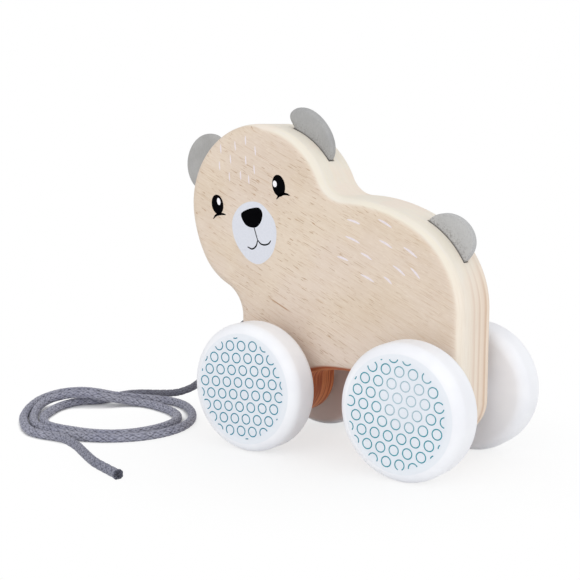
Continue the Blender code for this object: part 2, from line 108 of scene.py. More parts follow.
camera_data = bpy.data.cameras.new("camera")
camera_data.lens = LENS_MM
camera_data.sensor_width = SENSOR_MM
camera_data.clip_start = 0.01
camera_data.clip_end = 20.0
camera = add_object("camera", camera_data)
aim = Matrix.Rotation(CAMERA_TURN, 4, "Z") @ Matrix.Rotation(math.radians(90.0) - CAMERA_RISE, 4, "X")
camera.matrix_world = Matrix.Translation(Vector(from_middle(CAMERA_PLACE_MM))) @ aim @ Matrix.Rotation(
    CAMERA_ROLL, 4, "Z"
)
bpy.context.scene.camera = camera
print("Camera at", [round(value, 3) for value in camera.matrix_world.translation])

# %% [markdown]
# ## Surfaces from arrays
# A turned or moulded shape is easiest to write as points on a grid, worked out all at once. A few
# helpers give directions round a circle, make the faces between the points and put them into a
# mesh. A shape can come out with its faces pointing inwards, so the volume under the faces is
# measured: where it is negative, every face is turned round.

# %% Make meshes from grids of points
def grid_quads(rows, columns, closed_rows=False, closed_columns=False):
    """Four corner numbers for each cell of a grid whose points are numbered along its rows."""
    row = np.arange(rows if closed_rows else rows - 1)
    column = np.arange(columns if closed_columns else columns - 1)
    row, column = np.meshgrid(row, column, indexing="ij")
    next_row = (row + 1) % rows
    next_column = (column + 1) % columns
    corners = (
        row * columns + column,
        row * columns + next_column,
        next_row * columns + next_column,
        next_row * columns + column,
    )
    return np.stack(corners, axis=-1).reshape(-1, 4)


def tube_faces(rows, columns):
    """The cells of a grid that is closed one way, and a face over each of its two ends."""
    first = list(range(columns))
    last = list(range((rows - 1) * columns, rows * columns))
    return [*grid_quads(rows, columns, closed_columns=True).tolist(), first[::-1], last]


def unit(vectors):
    """The same directions with a length of 1."""
    return vectors / np.linalg.norm(vectors, axis=-1, keepdims=True)


def direction(degrees):
    """(cos t, sin t) at these angles."""
    angle = np.radians(degrees)
    return np.stack((np.cos(angle), np.sin(angle)), axis=-1)


def all_round(count):
    """(cos t, sin t) at this many equal steps once round."""
    return direction(np.arange(count) * 360.0 / count)


def signed_volume(points, faces):
    """A sixth of the sum of the triangle products: positive where the faces point outwards."""
    total = 0.0
    for size in {len(face) for face in faces}:
        same = np.array([face for face in faces if len(face) == size])
        for step in range(1, size - 1):
            triangles = points[same[:, [0, step, step + 1]]]
            total += np.linalg.det(triangles).sum()
    return total / 6.0


def turned_outwards(points, faces):
    """The faces as they are, or all turned round where they point inwards."""
    return [face[::-1] for face in faces] if signed_volume(points, faces) < 0 else faces


def new_piece(name, points, faces, smooth=True):
    """A closed mesh object with its place in its mesh, its faces pointing outwards."""
    points = np.asarray(points, float).reshape(-1, 3)
    mesh = bpy.data.meshes.new(name)
    mesh.from_pydata(points.tolist(), [], turned_outwards(points, faces))
    mesh.polygons.foreach_set("use_smooth", np.full(len(mesh.polygons), smooth))
    mesh.update()
    return add_object(name, mesh)


def report(piece):
    """Prints a piece's number of faces and its size."""
    points = np.zeros(len(piece.data.vertices) * 3)
    piece.data.vertices.foreach_get("co", points)
    size = np.ptp(points.reshape(-1, 3), axis=0) / MM
    print(f"{piece.name}: {len(piece.data.polygons)} faces, {size.round(1).tolist()} mm")


print("A tube of 3 rings of 4 points has", len(tube_faces(3, 4)), "faces")

# %% [markdown]
# ## Shader maths
# A material is a base colour with others laid over it, each through a mask. Written node by node
# that is hard to follow, so one small class stands for a socket and lets masks be added and
# multiplied like numbers. A second class holds the material, or the world, and makes every other
# node with one method.

# %% Write materials as sums
class Field:
    """A number, colour or vector that changes over a surface."""

    def __init__(self, recipe, socket):
        self.recipe = recipe
        self.socket = socket

    def math(self, operation, *others):
        """This field and others, or numbers, through one operation."""
        sockets = dict(enumerate((self, *others)))
        return self.recipe.node("ShaderNodeMath", {"operation": operation}, sockets)

    def __add__(self, other):
        return self.math("ADD", other)

    __radd__ = __add__

    def __mul__(self, other):
        return self.math("MULTIPLY", other)

    __rmul__ = __mul__

    def __sub__(self, other):
        return self.math("SUBTRACT", other)

    def __rsub__(self, other):
        return self.recipe.node("ShaderNodeMath", {"operation": "SUBTRACT"}, {0: other, 1: self})

    def __truediv__(self, other):
        return self.math("DIVIDE", other)

    def rise(self, low, high):
        """0 below `low`, 1 above `high`, with a soft step between them."""
        sockets = {"Value": self, "From Min": low, "From Max": high}
        return self.recipe.node("ShaderNodeMapRange", {"interpolation_type": "SMOOTHSTEP"}, sockets)

    def fall(self, low, high):
        """1 below `low`, 0 above `high`, with a soft step between them."""
        return 1.0 - self.rise(low, high)


class Recipe:
    """A procedural material, or the world, in the making."""

    def __init__(self, name, kind=bpy.data.materials):
        self.owner = kind.new(name)
        self.owner.use_nodes = True
        self.tree = self.owner.node_tree
        self.shader = self.tree.nodes.get("Principled BSDF")

    def put(self, socket, value):
        """Links a field to a socket, or sets the socket to a number, colour or vector."""
        if isinstance(value, Field):
            self.tree.links.new(value.socket, socket)
        else:
            socket.default_value = value

    def node(self, kind, settings=None, sockets=None, output=0):
        """Any node: first its settings, then its sockets by name or number, then one output."""
        made = self.tree.nodes.new(kind)
        for name, value in (settings or {}).items():
            if name == "stops":
                ramp = made.color_ramp
                while len(ramp.elements) < len(value):
                    ramp.elements.new(1.0)
                for element, (place, colour) in zip(ramp.elements, value):
                    element.position = place
                    element.color = colour
            else:
                setattr(made, name, value)
        for name, value in (sockets or {}).items():
            self.put(made.inputs[name], value)
        return Field(self, made.outputs[output])

    def place(self, stretch=1.0, turn=(0.0, 0.0, 0.0)):
        """The point on the piece in millimetres, turned and then squeezed, evenly or along each axis."""
        if isinstance(stretch, float):
            stretch = (stretch, stretch, stretch)
        point = self.node("ShaderNodeTexCoord", output="Object")
        sockets = {"Vector": point, "Rotation": turn, "Scale": (1 / MM, 1 / MM, 1 / MM)}
        turned = self.node("ShaderNodeMapping", sockets=sockets)
        return self.node("ShaderNodeMapping", sockets={"Vector": turned, "Scale": stretch})

    def noise(self, where, turn=(0.0, 0.0, 0.0), detail=2.0, roughness=0.5):
        """Noise that changes over a length of about 1 of a vector, which is `where` itself or a place.

        A place is the piece's own millimetres, turned and then squeezed by `where`.
        """
        vector = where if isinstance(where, Field) else self.place(where, turn)
        sockets = {"Vector": vector, "Scale": 1.0, "Detail": detail, "Roughness": roughness}
        return self.node("ShaderNodeTexNoise", {"noise_dimensions": "3D"}, sockets)

    def away_from(self, centre, stretch=1.0):
        """Millimetres from a point, or from a line along Y where the stretch is 0 along Y."""
        points = {0: self.place(stretch), 1: centre}
        return self.node("ShaderNodeVectorMath", {"operation": "DISTANCE"}, points, output="Value")

    def paint(self, base, *layers):
        """A base colour with others laid over it, each as (mask, colour).

        A colour is a Field, or its red, green and blue from 0 to 255 as a screen shows them.
        """
        for mask, over in layers:
            pair = [one if isinstance(one, Field) else colour(*one) for one in (base, over)]
            sockets = {0: mask, 6: pair[0], 7: pair[1]}
            base = self.node("ShaderNodeMix", {"data_type": "RGBA"}, sockets, output=2)
        return base

    def parts(self, vector):
        """The three numbers of a vector."""
        split = self.node("ShaderNodeSeparateXYZ", sockets={0: vector})
        return [Field(self, socket) for socket in split.socket.node.outputs]

    def bump(self, height, depth, strength=1.0):
        """Raises the surface by up to `depth` metres where the height is 1."""
        sockets = {"Height": height, "Distance": depth, "Strength": strength}
        normal = self.node("ShaderNodeBump", sockets=sockets)
        self.put(self.shader.inputs["Normal"], normal)

    def surface(self, colour, roughness, **constants):
        """Sets the colour and roughness, and any constant by its socket's name with _ for a space."""
        self.put(self.shader.inputs["Base Color"], colour)
        self.put(self.shader.inputs["Roughness"], roughness)
        for name, value in constants.items():
            self.shader.inputs[name.replace("_", " ")].default_value = value


def colour(red, green, blue):
    """The linear light of a colour that a screen shows, from 0 to 255.

    A share s of full light is s / 12.92 up to 0.04045, and ((s + 0.055) / 1.055)^2.4 above it.
    """
    screen = np.array((red, green, blue)) / 255.0
    linear = np.where(screen <= 0.04045, screen / 12.92, ((screen + 0.055) / 1.055) ** 2.4)
    return (*linear.tolist(), 1.0)


def coat(piece, recipe):
    """Gives a piece this material and no other."""
    piece.data.materials.clear()
    piece.data.materials.append(recipe.owner)
    print(f"{piece.name}: {recipe.owner.name}, {len(recipe.tree.nodes)} nodes")


def dress(piece, recipe, body):
    """Gives a piece its material and the body that it moves with."""
    coat(piece, recipe)
    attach(piece, body)


print("A screen's mid grey, 128, is a linear", round(colour(128, 128, 128)[0], 3))

# %% [markdown]
# ## Cord
# The cord is one length of soft braid. It leaves a hole in the chest, sags to the floor, goes
# round twice in loops that lie side by side, and ends in a bare cut. The later turns ride over
# the first stretch, so the loops are lifted there by two long humps. Limp cord never lies in a
# true circle, so the loops are a spiral whose radius swells and sinks by a few waves round it.
# The free stretches are a few chosen points, and one smooth curve joins everything.

# %% Lay out the cord's centre line
CORD_RADIUS_MM = 1.7
CORD_DIAMETER = 2 * CORD_RADIUS_MM * MM
CHEST_X_MM = -51.28
CORD_HOLE_LEVEL_MM = 43.79
HOLE_DEPTH_MM = 8.7
LEAD_ROUTE_MM = [
    (-58.0, 0.4, 43.7),
    (-61.6, 1.3, 41.3),
    (-65.2, 2.4, 37.4),
    (-74.0, 5.0, 28.3),
    (-84.0, 8.0, 19.2),
    (-94.7, 10.6, 10.7),
    (-103.4, 12.0, 6.5),
    (-110.4, 13.1, 4.4),
    (-117.4, 14.1, 3.1),
    (-124.0, 14.3, 2.2),
    (-129.4, 12.9, 1.8),
    (-133.3, 9.2, 1.7),
    (-134.8, 4.0, 1.7),
    (-134.8, -1.5, 1.7),
    (-136.0, -8.5, 1.7),
    (-141.0, -14.2, 1.7),
    (-142.4, -21.8, 1.7),
    (-141.0, -29.8, 1.7),
    (-137.4, -37.6, 1.7),
]
END_ROUTE_MM = [
    (-119.9, -63.2, 1.7),
    (-112.4, -64.0, 1.7),
    (-106.3, -63.2, 1.7),
    (-100.0, -63.4, 1.7),
    (-89.6, -67.3, 1.7),
    (-79.8, -72.7, 1.7),
    (-68.0, -79.0, 1.7),
    (-57.0, -83.0, 1.7),
    (-51.0, -85.0, 1.7),
]
LOOPS_CENTRE_MM = (-116.0, -27.0)
LOOPS_RADIUS_MM = 24.17
LOOPS_GROWTH_MM = 6.2
LOOPS_WAVES_MM = np.array([
    (4.67, -3.84, 1.30, 1.43),
    (3.00, 1.53, -0.27, 0.05),
    (-0.12, -0.88, -0.92, -0.25),
    (1.05, 0.86, 0.16, -0.94),
    (-1.32, 0.0, 0.70, 0.19),
])
LOOPS_COUNT_FROM = 180.0
LOOPS_START = 228.0
LOOPS_END = 963.0
LOOPS_STEP = 15.0
LIFT_HEIGHT_MM = 4.5
LIFT_ANGLES = (514.0, 871.0)
LIFT_HALF_SPAN = 69.0


def loops_line(angles):
    """Centre + r (cos t, sin t), where r = R + G n + the sum over k of (a + c n) cos kt + (b + d n) sin kt.

    Here n is the number of turns so far, and row k of the waves is (a, b, c, d). Raised-cosine
    humps lift the line where it crosses the first stretch.
    """
    turns = (angles - LOOPS_COUNT_FROM) / 360.0
    turn = np.radians(angles)
    order = np.arange(1, len(LOOPS_WAVES_MM) + 1)
    cosine, sine, cosine_growth, sine_growth = LOOPS_WAVES_MM.T
    waves = (cosine + np.outer(turns, cosine_growth)) * np.cos(np.outer(turn, order))
    waves += (sine + np.outer(turns, sine_growth)) * np.sin(np.outer(turn, order))
    radius = LOOPS_RADIUS_MM + LOOPS_GROWTH_MM * turns + waves.sum(axis=1)
    x = LOOPS_CENTRE_MM[0] + radius * np.cos(turn)
    y = LOOPS_CENTRE_MM[1] + radius * np.sin(turn)
    z = np.full_like(angles, CORD_RADIUS_MM)
    for crossing in LIFT_ANGLES:
        share = np.clip(np.abs(angles - crossing) / LIFT_HALF_SPAN, 0.0, 1.0)
        z = z + LIFT_HEIGHT_MM * 0.5 * (1.0 + np.cos(np.pi * share))
    return np.stack((x, y, z), axis=1)


def smooth_through(points, per_span, closed=False):
    """Hermite curves between neighbouring points, with slopes of half the chord across each point."""
    points = np.asarray(points, float)
    if closed:
        around = np.vstack((points[-1:], points, points[:2]))
    else:
        around = np.vstack((2 * points[:1] - points[1:2], points, 2 * points[-1:] - points[-2:-1]))
    slope = (around[2:] - around[:-2]) / 2
    t = (np.arange(per_span) / per_span)[None, :, None]
    near, far = around[1:-2, None], around[2:-1, None]
    spans = (
        near * (2 * t**3 - 3 * t**2 + 1)
        + slope[:-1, None] * (t**3 - 2 * t**2 + t)
        + far * (3 * t**2 - 2 * t**3)
        + slope[1:, None] * (t**3 - t**2)
    )
    spans = spans.reshape(-1, points.shape[1])
    return spans if closed else np.vstack((spans, points[-1:]))


def lengths_along(points):
    """The length of a line of points up to each of them."""
    return np.concatenate(([0.0], np.cumsum(np.linalg.norm(np.diff(points, axis=0), axis=1))))


def evenly(points, spacing):
    """Points at equal steps of length along a line of points, and the line's length."""
    lengths = lengths_along(points)
    count = int(round(lengths[-1] / spacing))
    places = np.linspace(0.0, lengths[-1], count + 1)
    return np.stack([np.interp(places, lengths, points[:, axis]) for axis in range(3)], axis=1), lengths[-1]


def straight_on(before, end):
    """The point one cord diameter beyond the end of a line, away from the point before it."""
    return end + 2 * CORD_RADIUS_MM * unit(np.subtract(end, before))


hole_mouth = np.array((CHEST_X_MM, 0.0, CORD_HOLE_LEVEL_MM))
cord_start = hole_mouth + np.outer((HOLE_DEPTH_MM, 0.0, -2 * CORD_RADIUS_MM), (1.0, 0.0, 0.0))
loops = loops_line(np.arange(LOOPS_START, LOOPS_END + 1.0, LOOPS_STEP))
into_loops, out_of_loops = straight_on(loops[1], loops[0]), straight_on(loops[-2], loops[-1])
cord_tip = straight_on(END_ROUTE_MM[-2], END_ROUTE_MM[-1])
route = np.vstack((cord_start, LEAD_ROUTE_MM, into_loops, loops, out_of_loops, END_ROUTE_MM, cord_tip))
CORD_STEP_MM = 0.36
FRAYED_STEPS = 5
cord_line, cord_length = evenly(smooth_through(route, per_span=24), CORD_STEP_MM)
cord_line = from_middle(cord_line[:-FRAYED_STEPS])
cord_length -= FRAYED_STEPS * CORD_STEP_MM
print("Cord:", len(cord_line), "rings,", round(cord_length, 1), "mm long")

# %% [markdown]
# ### The braid
# Two sets of strands wind round the cord in opposite directions and pass over and under each
# other. On the unrolled surface that is a pattern of long diamonds, so the tube's radius is raised
# along both sets of diagonals, and the set that is on top changes from one diamond to the next.
# The tube has rings at right angles to its line and never turns steeply upwards, so level side
# vectors keep it from twisting. The first stretch is pulled a little thinner. The cord ends in a
# plain cut, whose yarn ends stick out unevenly: the last ring is drawn in to a point in a few
# steps, and each of their points is moved along the cord by its own small amount.

# %% Carry a braided tube along the line
BRAID_STRANDS = 8
BRAID_PITCH_MM = 18.0
BRAID_DEPTH = 0.22
BRAID_MEAN_HEIGHT = 0.6
UNDER_STRAND_HEIGHT = 0.35
STRAND_CROSSING = 3.0
RING_POINTS = 48
CUT_SPREAD = 1.16
CUT_SPREAD_MM = 3.0
CUT_SHARES = (0.86, 0.66, 0.44, 0.22)
CUT_ROUGHNESS_MM = 0.7
YARN_ENDS_HEIGHT = 0.65
LEAD_MM = (95.0, 130.0)
LEAD_SLIMMING = 0.1


def braid_height(along, around):
    """0 to 1: how far the strand that is on top stands up, for millimetres along and turns around.

    A strand is a half circle across, sqrt(1 - (2 s - 1)^2), and sinks to a share where it is under.
    """
    strands = BRAID_STRANDS * np.stack((around + along / BRAID_PITCH_MM, around - along / BRAID_PITCH_MM))
    right_top, left_top = np.sqrt(np.clip(1.0 - (2.0 * (strands % 1.0) - 1.0) ** 2, 0.0, 1.0))
    weave = np.sin(np.pi * strands.sum(axis=0) / 2) * np.sin(np.pi * (strands[0] - strands[1]) / 2)
    lift = (1.0 - UNDER_STRAND_HEIGHT) * (0.5 + 0.5 * np.tanh(STRAND_CROSSING * weave))
    return np.maximum(right_top * (UNDER_STRAND_HEIGHT + lift), left_top * (1.0 - lift))


def cord_tube(line):
    """Ring centres plus radius times (side cos + up sin), the radius following the braid."""
    tangent = unit(np.gradient(line, axis=0))
    side = unit(np.cross(tangent, (0.0, 0.0, 1.0)))
    up = np.cross(side, tangent)
    along = lengths_along(line) / MM
    around = np.arange(RING_POINTS) / RING_POINTS
    height = braid_height(along[:, None], around[None, :])
    near_cut = np.clip(1.0 - (along[-1] - along) / CUT_SPREAD_MM, 0.0, 1.0)
    spread = 1.0 + (CUT_SPREAD - 1.0) * near_cut**2
    spread -= LEAD_SLIMMING * (1.0 - np.clip((along - LEAD_MM[0]) / (LEAD_MM[1] - LEAD_MM[0]), 0.0, 1.0))
    radius = CORD_DIAMETER / 2 * (1.0 + BRAID_DEPTH * (height - BRAID_MEAN_HEIGHT)) * spread[:, None]
    cosine, sine = all_round(RING_POINTS).T[:, None, :, None]
    out = cosine * side[:, None, :] + sine * up[:, None, :]
    return line[:, None, :] + radius[:, :, None] * out, along, around, height


def cut_rings(last_ring, centre, forward):
    """Centre + share (ring - centre) + a small random length along the cord, for a few shares."""
    random = np.random.default_rng(5)
    shares = np.array(CUT_SHARES)[:, None, None]
    lengths = CUT_ROUGHNESS_MM * MM * random.uniform(-0.5, 1.0, (len(CUT_SHARES), RING_POINTS, 1))
    return centre + shares * (last_ring - centre) + lengths * forward


cord_points, cord_along, cord_around, strand_height = cord_tube(cord_line)
cut_points = cut_rings(cord_points[-1], cord_line[-1], unit(cord_line[-1] - cord_line[-2]))
cord_points = np.concatenate((cord_points, cut_points))
cord_points[..., 2] = np.maximum(cord_points[..., 2], 0.0)
cord_along = np.concatenate((cord_along, np.full(len(CUT_SHARES), cord_along[-1])))
yarn_ends = np.random.default_rng(6).uniform(0.0, YARN_ENDS_HEIGHT, cut_points.shape[:2])
strand_height = np.concatenate((strand_height, yarn_ends))
cord = new_piece("cord", cord_points, tube_faces(len(cord_points), RING_POINTS))
height_layer = cord.data.attributes.new("strand_height", "FLOAT", "POINT")
height_layer.data.foreach_set("value", strand_height.ravel())
report(cord)

# %% Give the cord a map along and around it
def map_cord(piece):
    """U is metres along the cord, V is turns around it, both held at each corner of each face.

    The cells across the seam go on from the last turn's share to 1 instead of back to 0.
    """
    layer = piece.data.uv_layers.new(name="along_and_around")
    corners = np.zeros(len(piece.data.loops), dtype=np.int64)
    piece.data.loops.foreach_get("vertex_index", corners)
    along = cord_along[corners // RING_POINTS]
    around = cord_around[corners % RING_POINTS]
    starts, sizes = np.zeros((2, len(piece.data.polygons)), dtype=np.int64)
    piece.data.polygons.foreach_get("loop_start", starts)
    piece.data.polygons.foreach_get("loop_total", sizes)
    quads = starts[sizes == 4][:, None] + np.arange(4)
    seam = quads[np.ptp(around[quads], axis=1) > 0.5]
    around[seam] += around[seam] < 0.5
    layer.data.foreach_set("uv", np.stack((along * MM, around), axis=1).ravel())


map_cord(cord)
print("The cord's map ends at", round(cord_along[-1] * MM, 4), "m along")

# %% [markdown]
# ### The cord's yarn
# The yarn is a cool grey with a little violet in it. The strands are already in the shape, and
# the height of each point of the braid is kept with the mesh, so the material paints shade into
# the hollows between strands and into the cut end, where little light gets in. It adds fine
# fibres, uneven dye, painted shade on the first stretch, where it hangs under the head, and a
# last stretch that hands have made a little darker.

# %% Dye the cord
FIBRE_SCALE = (700.0, 16.0, 1.0)
HANDLED_MM = (80.0, 30.0)


def braid_material():
    """Fibres and dye, painted shade between strands, at the cut and on the first stretch, darker where
    handled.
    """
    recipe = Recipe("grey_braid")
    mapped = recipe.node("ShaderNodeUVMap", {"uv_map": "along_and_around"})
    along, _, _ = recipe.parts(mapped)
    height = recipe.node("ShaderNodeAttribute", {"attribute_name": "strand_height"}, output="Fac")
    stretched = recipe.node("ShaderNodeMapping", sockets={"Vector": mapped, "Scale": FIBRE_SCALE})
    fibres = recipe.noise(stretched, detail=3.0)
    dye = recipe.noise(0.3, detail=3.0)
    wear = recipe.noise(0.06, detail=1.0)
    lead_shade = along.fall(*(place * MM for place in LEAD_MM))
    handled = along.rise(*((cord_length - left) * MM for left in HANDLED_MM))
    tone = recipe.paint(
        (134, 135, 149),
        (fibres.rise(0.3, 0.7), (178, 179, 194)),
        (dye.rise(0.4, 0.7) * 0.5, (138, 140, 160)),
        (wear.rise(0.45, 0.65) * 0.25, (178, 178, 186)),
        # painted shade in the hollows between strands and at the cut end
        (height.fall(0.25, 0.85) * 0.85, (58, 58, 70)),
        # painted shade on the first stretch, where it hangs under the head
        (lead_shade * 0.6, (70, 69, 75)),
        (handled * 0.3, (78, 80, 92)),
    )
    recipe.surface(tone, 0.9, Sheen_Weight=0.15, Sheen_Roughness=0.5, Specular_IOR_Level=0.2)
    recipe.bump(fibres + height, 0.15 * MM, 0.6)
    return recipe


dress(cord, braid_material(), "bear")
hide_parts("cord_lead", "cord_loops", "cord_end")

# %% [markdown]
# ## Plank
# The bear's outline is a belt: it runs round a chain of circles, outside the ones that bulge and
# inside the hollow ones, with straight runs where two circles don't touch. The four arcs of the
# head share their tangents. Because every point of such an outline has a known outward
# direction, its rounded edge can be worked out exactly: the outline is drawn in by a quarter
# circle while it moves out to the face.

# %% Draw the bear's outline
LEG_RADIUS = 15.2 * MM
LEG_FORWARD_OF_AXLE = 1.9 * MM
LEG_CLEARANCE = 8.6 * MM
ARCH_HEIGHT = 32.0 * MM
ARCH_RADIUS = 50.0 * MM
ARCH_CORNER_RADIUS = 4.0 * MM
RUMP_RADIUS = 37.0 * MM
RUMP_LEVEL = 57.4 * MM
BACK_RADIUS = 65.9 * MM
BACK_START = 60.9
NAPE_RADIUS = 10.9 * MM
THROAT_RADIUS = 13.3 * MM
HEAD_TOP = 125.35 * MM
HEAD_BEHIND_CHEST = 7.37 * MM
BROW_RADIUS = 34.9 * MM
CROWN_RADIUS = 32.16 * MM
CROWN_START = 103.5
FACE_RADIUS = 48.0 * MM
FACE_START = 187.6
CHIN_RADIUS = 26.4 * MM
CHIN_START = 209.0
OUTLINE_STEP = 0.8 * MM


def circle_beyond(centre, last_radius, radius, degrees):
    """The centre of an arc that carries on from another one, with a common tangent at this angle."""
    return centre + (last_radius - radius) * direction(degrees)


def centre_touching(first, first_radius, second, second_radius, radius):
    """The centre, left of the line between two circles, of a circle that touches both from outside."""
    between = second - first
    gap = np.linalg.norm(between)
    near, far = first_radius + radius, second_radius + radius
    along = (gap**2 + near**2 - far**2) / (2 * gap)
    across = math.sqrt(near**2 - along**2)
    forward = between / gap
    return first + along * forward + across * np.array((-forward[1], forward[0]))


def bear_circles():
    """The circles round which the outline runs, as (centre, radius, 1 for a bulge or -1 for a hollow)."""
    leg_level = LEG_CLEARANCE + LEG_RADIUS
    front_leg = np.array((front_axle.x - LEG_FORWARD_OF_AXLE, leg_level))
    rear_leg = np.array((rear_axle.x - LEG_FORWARD_OF_AXLE, leg_level))
    chest = front_leg[0] - LEG_RADIUS
    brow = np.array((chest + HEAD_BEHIND_CHEST, HEAD_TOP - BROW_RADIUS))
    crown = circle_beyond(brow, BROW_RADIUS, CROWN_RADIUS, CROWN_START)
    face = circle_beyond(crown, CROWN_RADIUS, FACE_RADIUS, FACE_START)
    chin = circle_beyond(face, FACE_RADIUS, CHIN_RADIUS, CHIN_START)
    throat_x = chest - THROAT_RADIUS
    throat_drop = math.sqrt((CHIN_RADIUS + THROAT_RADIUS) ** 2 - (chin[0] - throat_x) ** 2)
    arch = np.array(((front_leg[0] + rear_leg[0]) / 2, ARCH_HEIGHT - ARCH_RADIUS))
    corner_x = LEG_RADIUS + ARCH_CORNER_RADIUS
    corner_reach = ARCH_RADIUS - ARCH_CORNER_RADIUS
    corners = []
    for x in (front_leg[0] + corner_x, rear_leg[0] - corner_x):
        corners.append(np.array((x, arch[1] + math.sqrt(corner_reach**2 - (x - arch[0]) ** 2))))
    rump = np.array((rear_leg[0] + LEG_RADIUS - RUMP_RADIUS, RUMP_LEVEL))
    back = circle_beyond(rump, RUMP_RADIUS, BACK_RADIUS, BACK_START)
    nape = centre_touching(brow, BROW_RADIUS, back, BACK_RADIUS, NAPE_RADIUS)
    return {
        "brow": (brow, BROW_RADIUS, 1),
        "crown": (crown, CROWN_RADIUS, 1),
        "face": (face, FACE_RADIUS, 1),
        "chin": (chin, CHIN_RADIUS, 1),
        "throat": (np.array((throat_x, chin[1] - throat_drop)), THROAT_RADIUS, -1),
        "front leg": (front_leg, LEG_RADIUS, 1),
        "front corner": (corners[0], ARCH_CORNER_RADIUS, -1),
        "arch": (arch, ARCH_RADIUS, -1),
        "rear corner": (corners[1], ARCH_CORNER_RADIUS, -1),
        "rear leg": (rear_leg, LEG_RADIUS, 1),
        "rump": (rump, RUMP_RADIUS, 1),
        "back": (back, BACK_RADIUS, 1),
        "nape": (nape, NAPE_RADIUS, -1),
    }


def belt(circles, step):
    """Points and outward directions along arcs of circles, joined by their common tangents.

    The tangent from one circle to the next leaves at the angle of the line between their centres
    less acos((signed radius - next signed radius) / distance), where a hollow's radius counts as
    negative.
    """
    turns = []
    pairs = zip(circles, circles[1:] + circles[:1])
    for (centre, radius, side), (next_centre, next_radius, next_side) in pairs:
        between = next_centre - centre
        share = (side * radius - next_side * next_radius) / np.linalg.norm(between)
        turns.append(math.degrees(math.atan2(between[1], between[0]) - math.acos(np.clip(share, -1.0, 1.0))))
    points, normals = [], []
    for (centre, radius, side), start, stop in zip(circles, turns[-1:] + turns, turns):
        sweep = side * ((side * (stop - start)) % 360.0)
        count = max(4, math.ceil(math.radians(abs(sweep)) * radius / step))
        normals.append(direction(start + sweep * np.arange(count) / count))
        points.append(centre + side * radius * normals[-1])
    return np.vstack(points), np.vstack(normals)


circles = bear_circles()
outline, outward = belt(list(circles.values()), OUTLINE_STEP)
print("Outline:", len(outline), "points,", (np.ptp(outline, axis=0) / MM).round(1).tolist(), "mm")

# %% Saw the plank and round its edges
def rounded_board(name, outline, outward, half_thickness, rounding, steps, place):
    """A board: its outline drawn in by r(1 - sin a) while it rises to the face by r(1 - cos a).

    `place` turns (across, up, out of the board) in metres into the model's frame.
    """
    angle = np.linspace(0.0, np.pi / 2, steps + 1)
    drawn_in = rounding * (1.0 - np.sin(angle))
    height = half_thickness - rounding * (1.0 - np.cos(angle))
    drawn_in = np.concatenate((drawn_in, drawn_in[::-1]))
    height = np.concatenate((height, -height[::-1]))
    flat = outline[None, :, :] - drawn_in[:, None, None] * outward[None, :, :]
    level = np.broadcast_to(height[:, None, None], flat.shape[:2] + (1,))
    points = place(np.concatenate((flat, level), axis=2).reshape(-1, 3))
    return new_piece(name, points, tube_faces(*flat.shape[:2]))


def stand_up(points):
    """Stands the outline up: across stays X, up becomes Z, and out of the board is towards -Y."""
    return np.stack((points[:, 0], -points[:, 2], points[:, 1]), axis=1)


PLANK_ROUNDING = 4.0 * MM
PLANK_STEPS = 10
plank = rounded_board("plank", outline, outward, HALF_PLANK, PLANK_ROUNDING, PLANK_STEPS, stand_up)
report(plank)

# %% [markdown]
# ### Slots and holes
# The ears and the tail stand in slots in the plank's edge, the axles run through its legs, and
# the cord sits in a blind hole in the chest. Each is cut with a closed cutter, and the cuts are
# applied at once so that the finished plank is a plain mesh.

# %% Shape the ears' and the tail's boards
BOARDS = {
    "rear_ear": {
        "arc": "brow", "seat": 58.0, "lean": -15.6, "stand_off": 0.4,
        "half_width": 13.1, "height": 8.4, "depth": 3.4, "end_rounding": 2.2,
        "thickness": 3.4, "rounding": 1.3, "peg_shift": -3.0,
    },
    "front_ear": {
        "arc": "crown", "seat": 153.3, "lean": 7.6, "stand_off": 3.7,
        "half_width": 12.3, "height": 11.3, "depth": 8.0, "end_rounding": 0.0,
        "thickness": 3.4, "rounding": 1.3, "peg_shift": 0.0,
    },
    "tail": {
        "arc": "rump", "seat": 46.4, "lean": 17.5, "stand_off": 0.1,
        "half_width": 10.3, "height": 8.5, "depth": 12.0, "end_rounding": 0.0,
        "thickness": 3.0, "rounding": 0.3, "peg_shift": 0.0,
    },
}
BOARD_STEPS = 6
PEG_WIDTH_MM = 9.0
PEG_DEPTH_MM = 5.0
PEG_ROOT_MM = 2.0
PEG_THICKNESS_MM = 2.4
FIT_GAP_MM = 0.3
FIT_GAP = FIT_GAP_MM * MM


def board_frame(board):
    """Where a board stands: the middle of its waist, and the directions along its waist and up it."""
    centre, radius, _ = circles[board["arc"]]
    middle = centre + (radius + board["stand_off"] * MM) * direction(board["seat"])
    up = direction(board["seat"] + board["lean"])
    return middle, np.array((up[1], -up[0])), up


def board_place(board):
    """The function that carries (across, up, out) on a board to the model's frame."""
    middle, across, up = board_frame(board)

    def place(points):
        flat = middle + points[:, :1] * across + points[:, 1:2] * up
        return np.stack((flat[:, 0], -points[:, 2], flat[:, 1]), axis=1)

    return place


def board_outline(board, spare=0.0, points=128):
    """Two half ovals on one waist: (w cos t, h sin t), with h the height above it and the depth below.

    They are drawn in by the end rounding first and then moved out by it along the outward
    direction (cos t / w, sin t / h). The steps are even in an angle s halfway between the two
    directions, tan s = sqrt(h / w) tan t, so that the tight ends get their share of points.
    """
    cosine, sine = all_round(points).T
    rounding = board["end_rounding"]
    wide = board["half_width"] - rounding
    reach = np.where(sine > 0, board["height"], board["depth"]) - rounding
    place = unit(np.stack((cosine * np.sqrt(wide), sine * np.sqrt(reach)), axis=1))
    normal = unit(np.stack((cosine * np.sqrt(reach), sine * np.sqrt(wide)), axis=1))
    oval = place * np.stack((np.full(points, wide), reach), axis=1) + (rounding + spare) * normal
    return oval * MM, normal


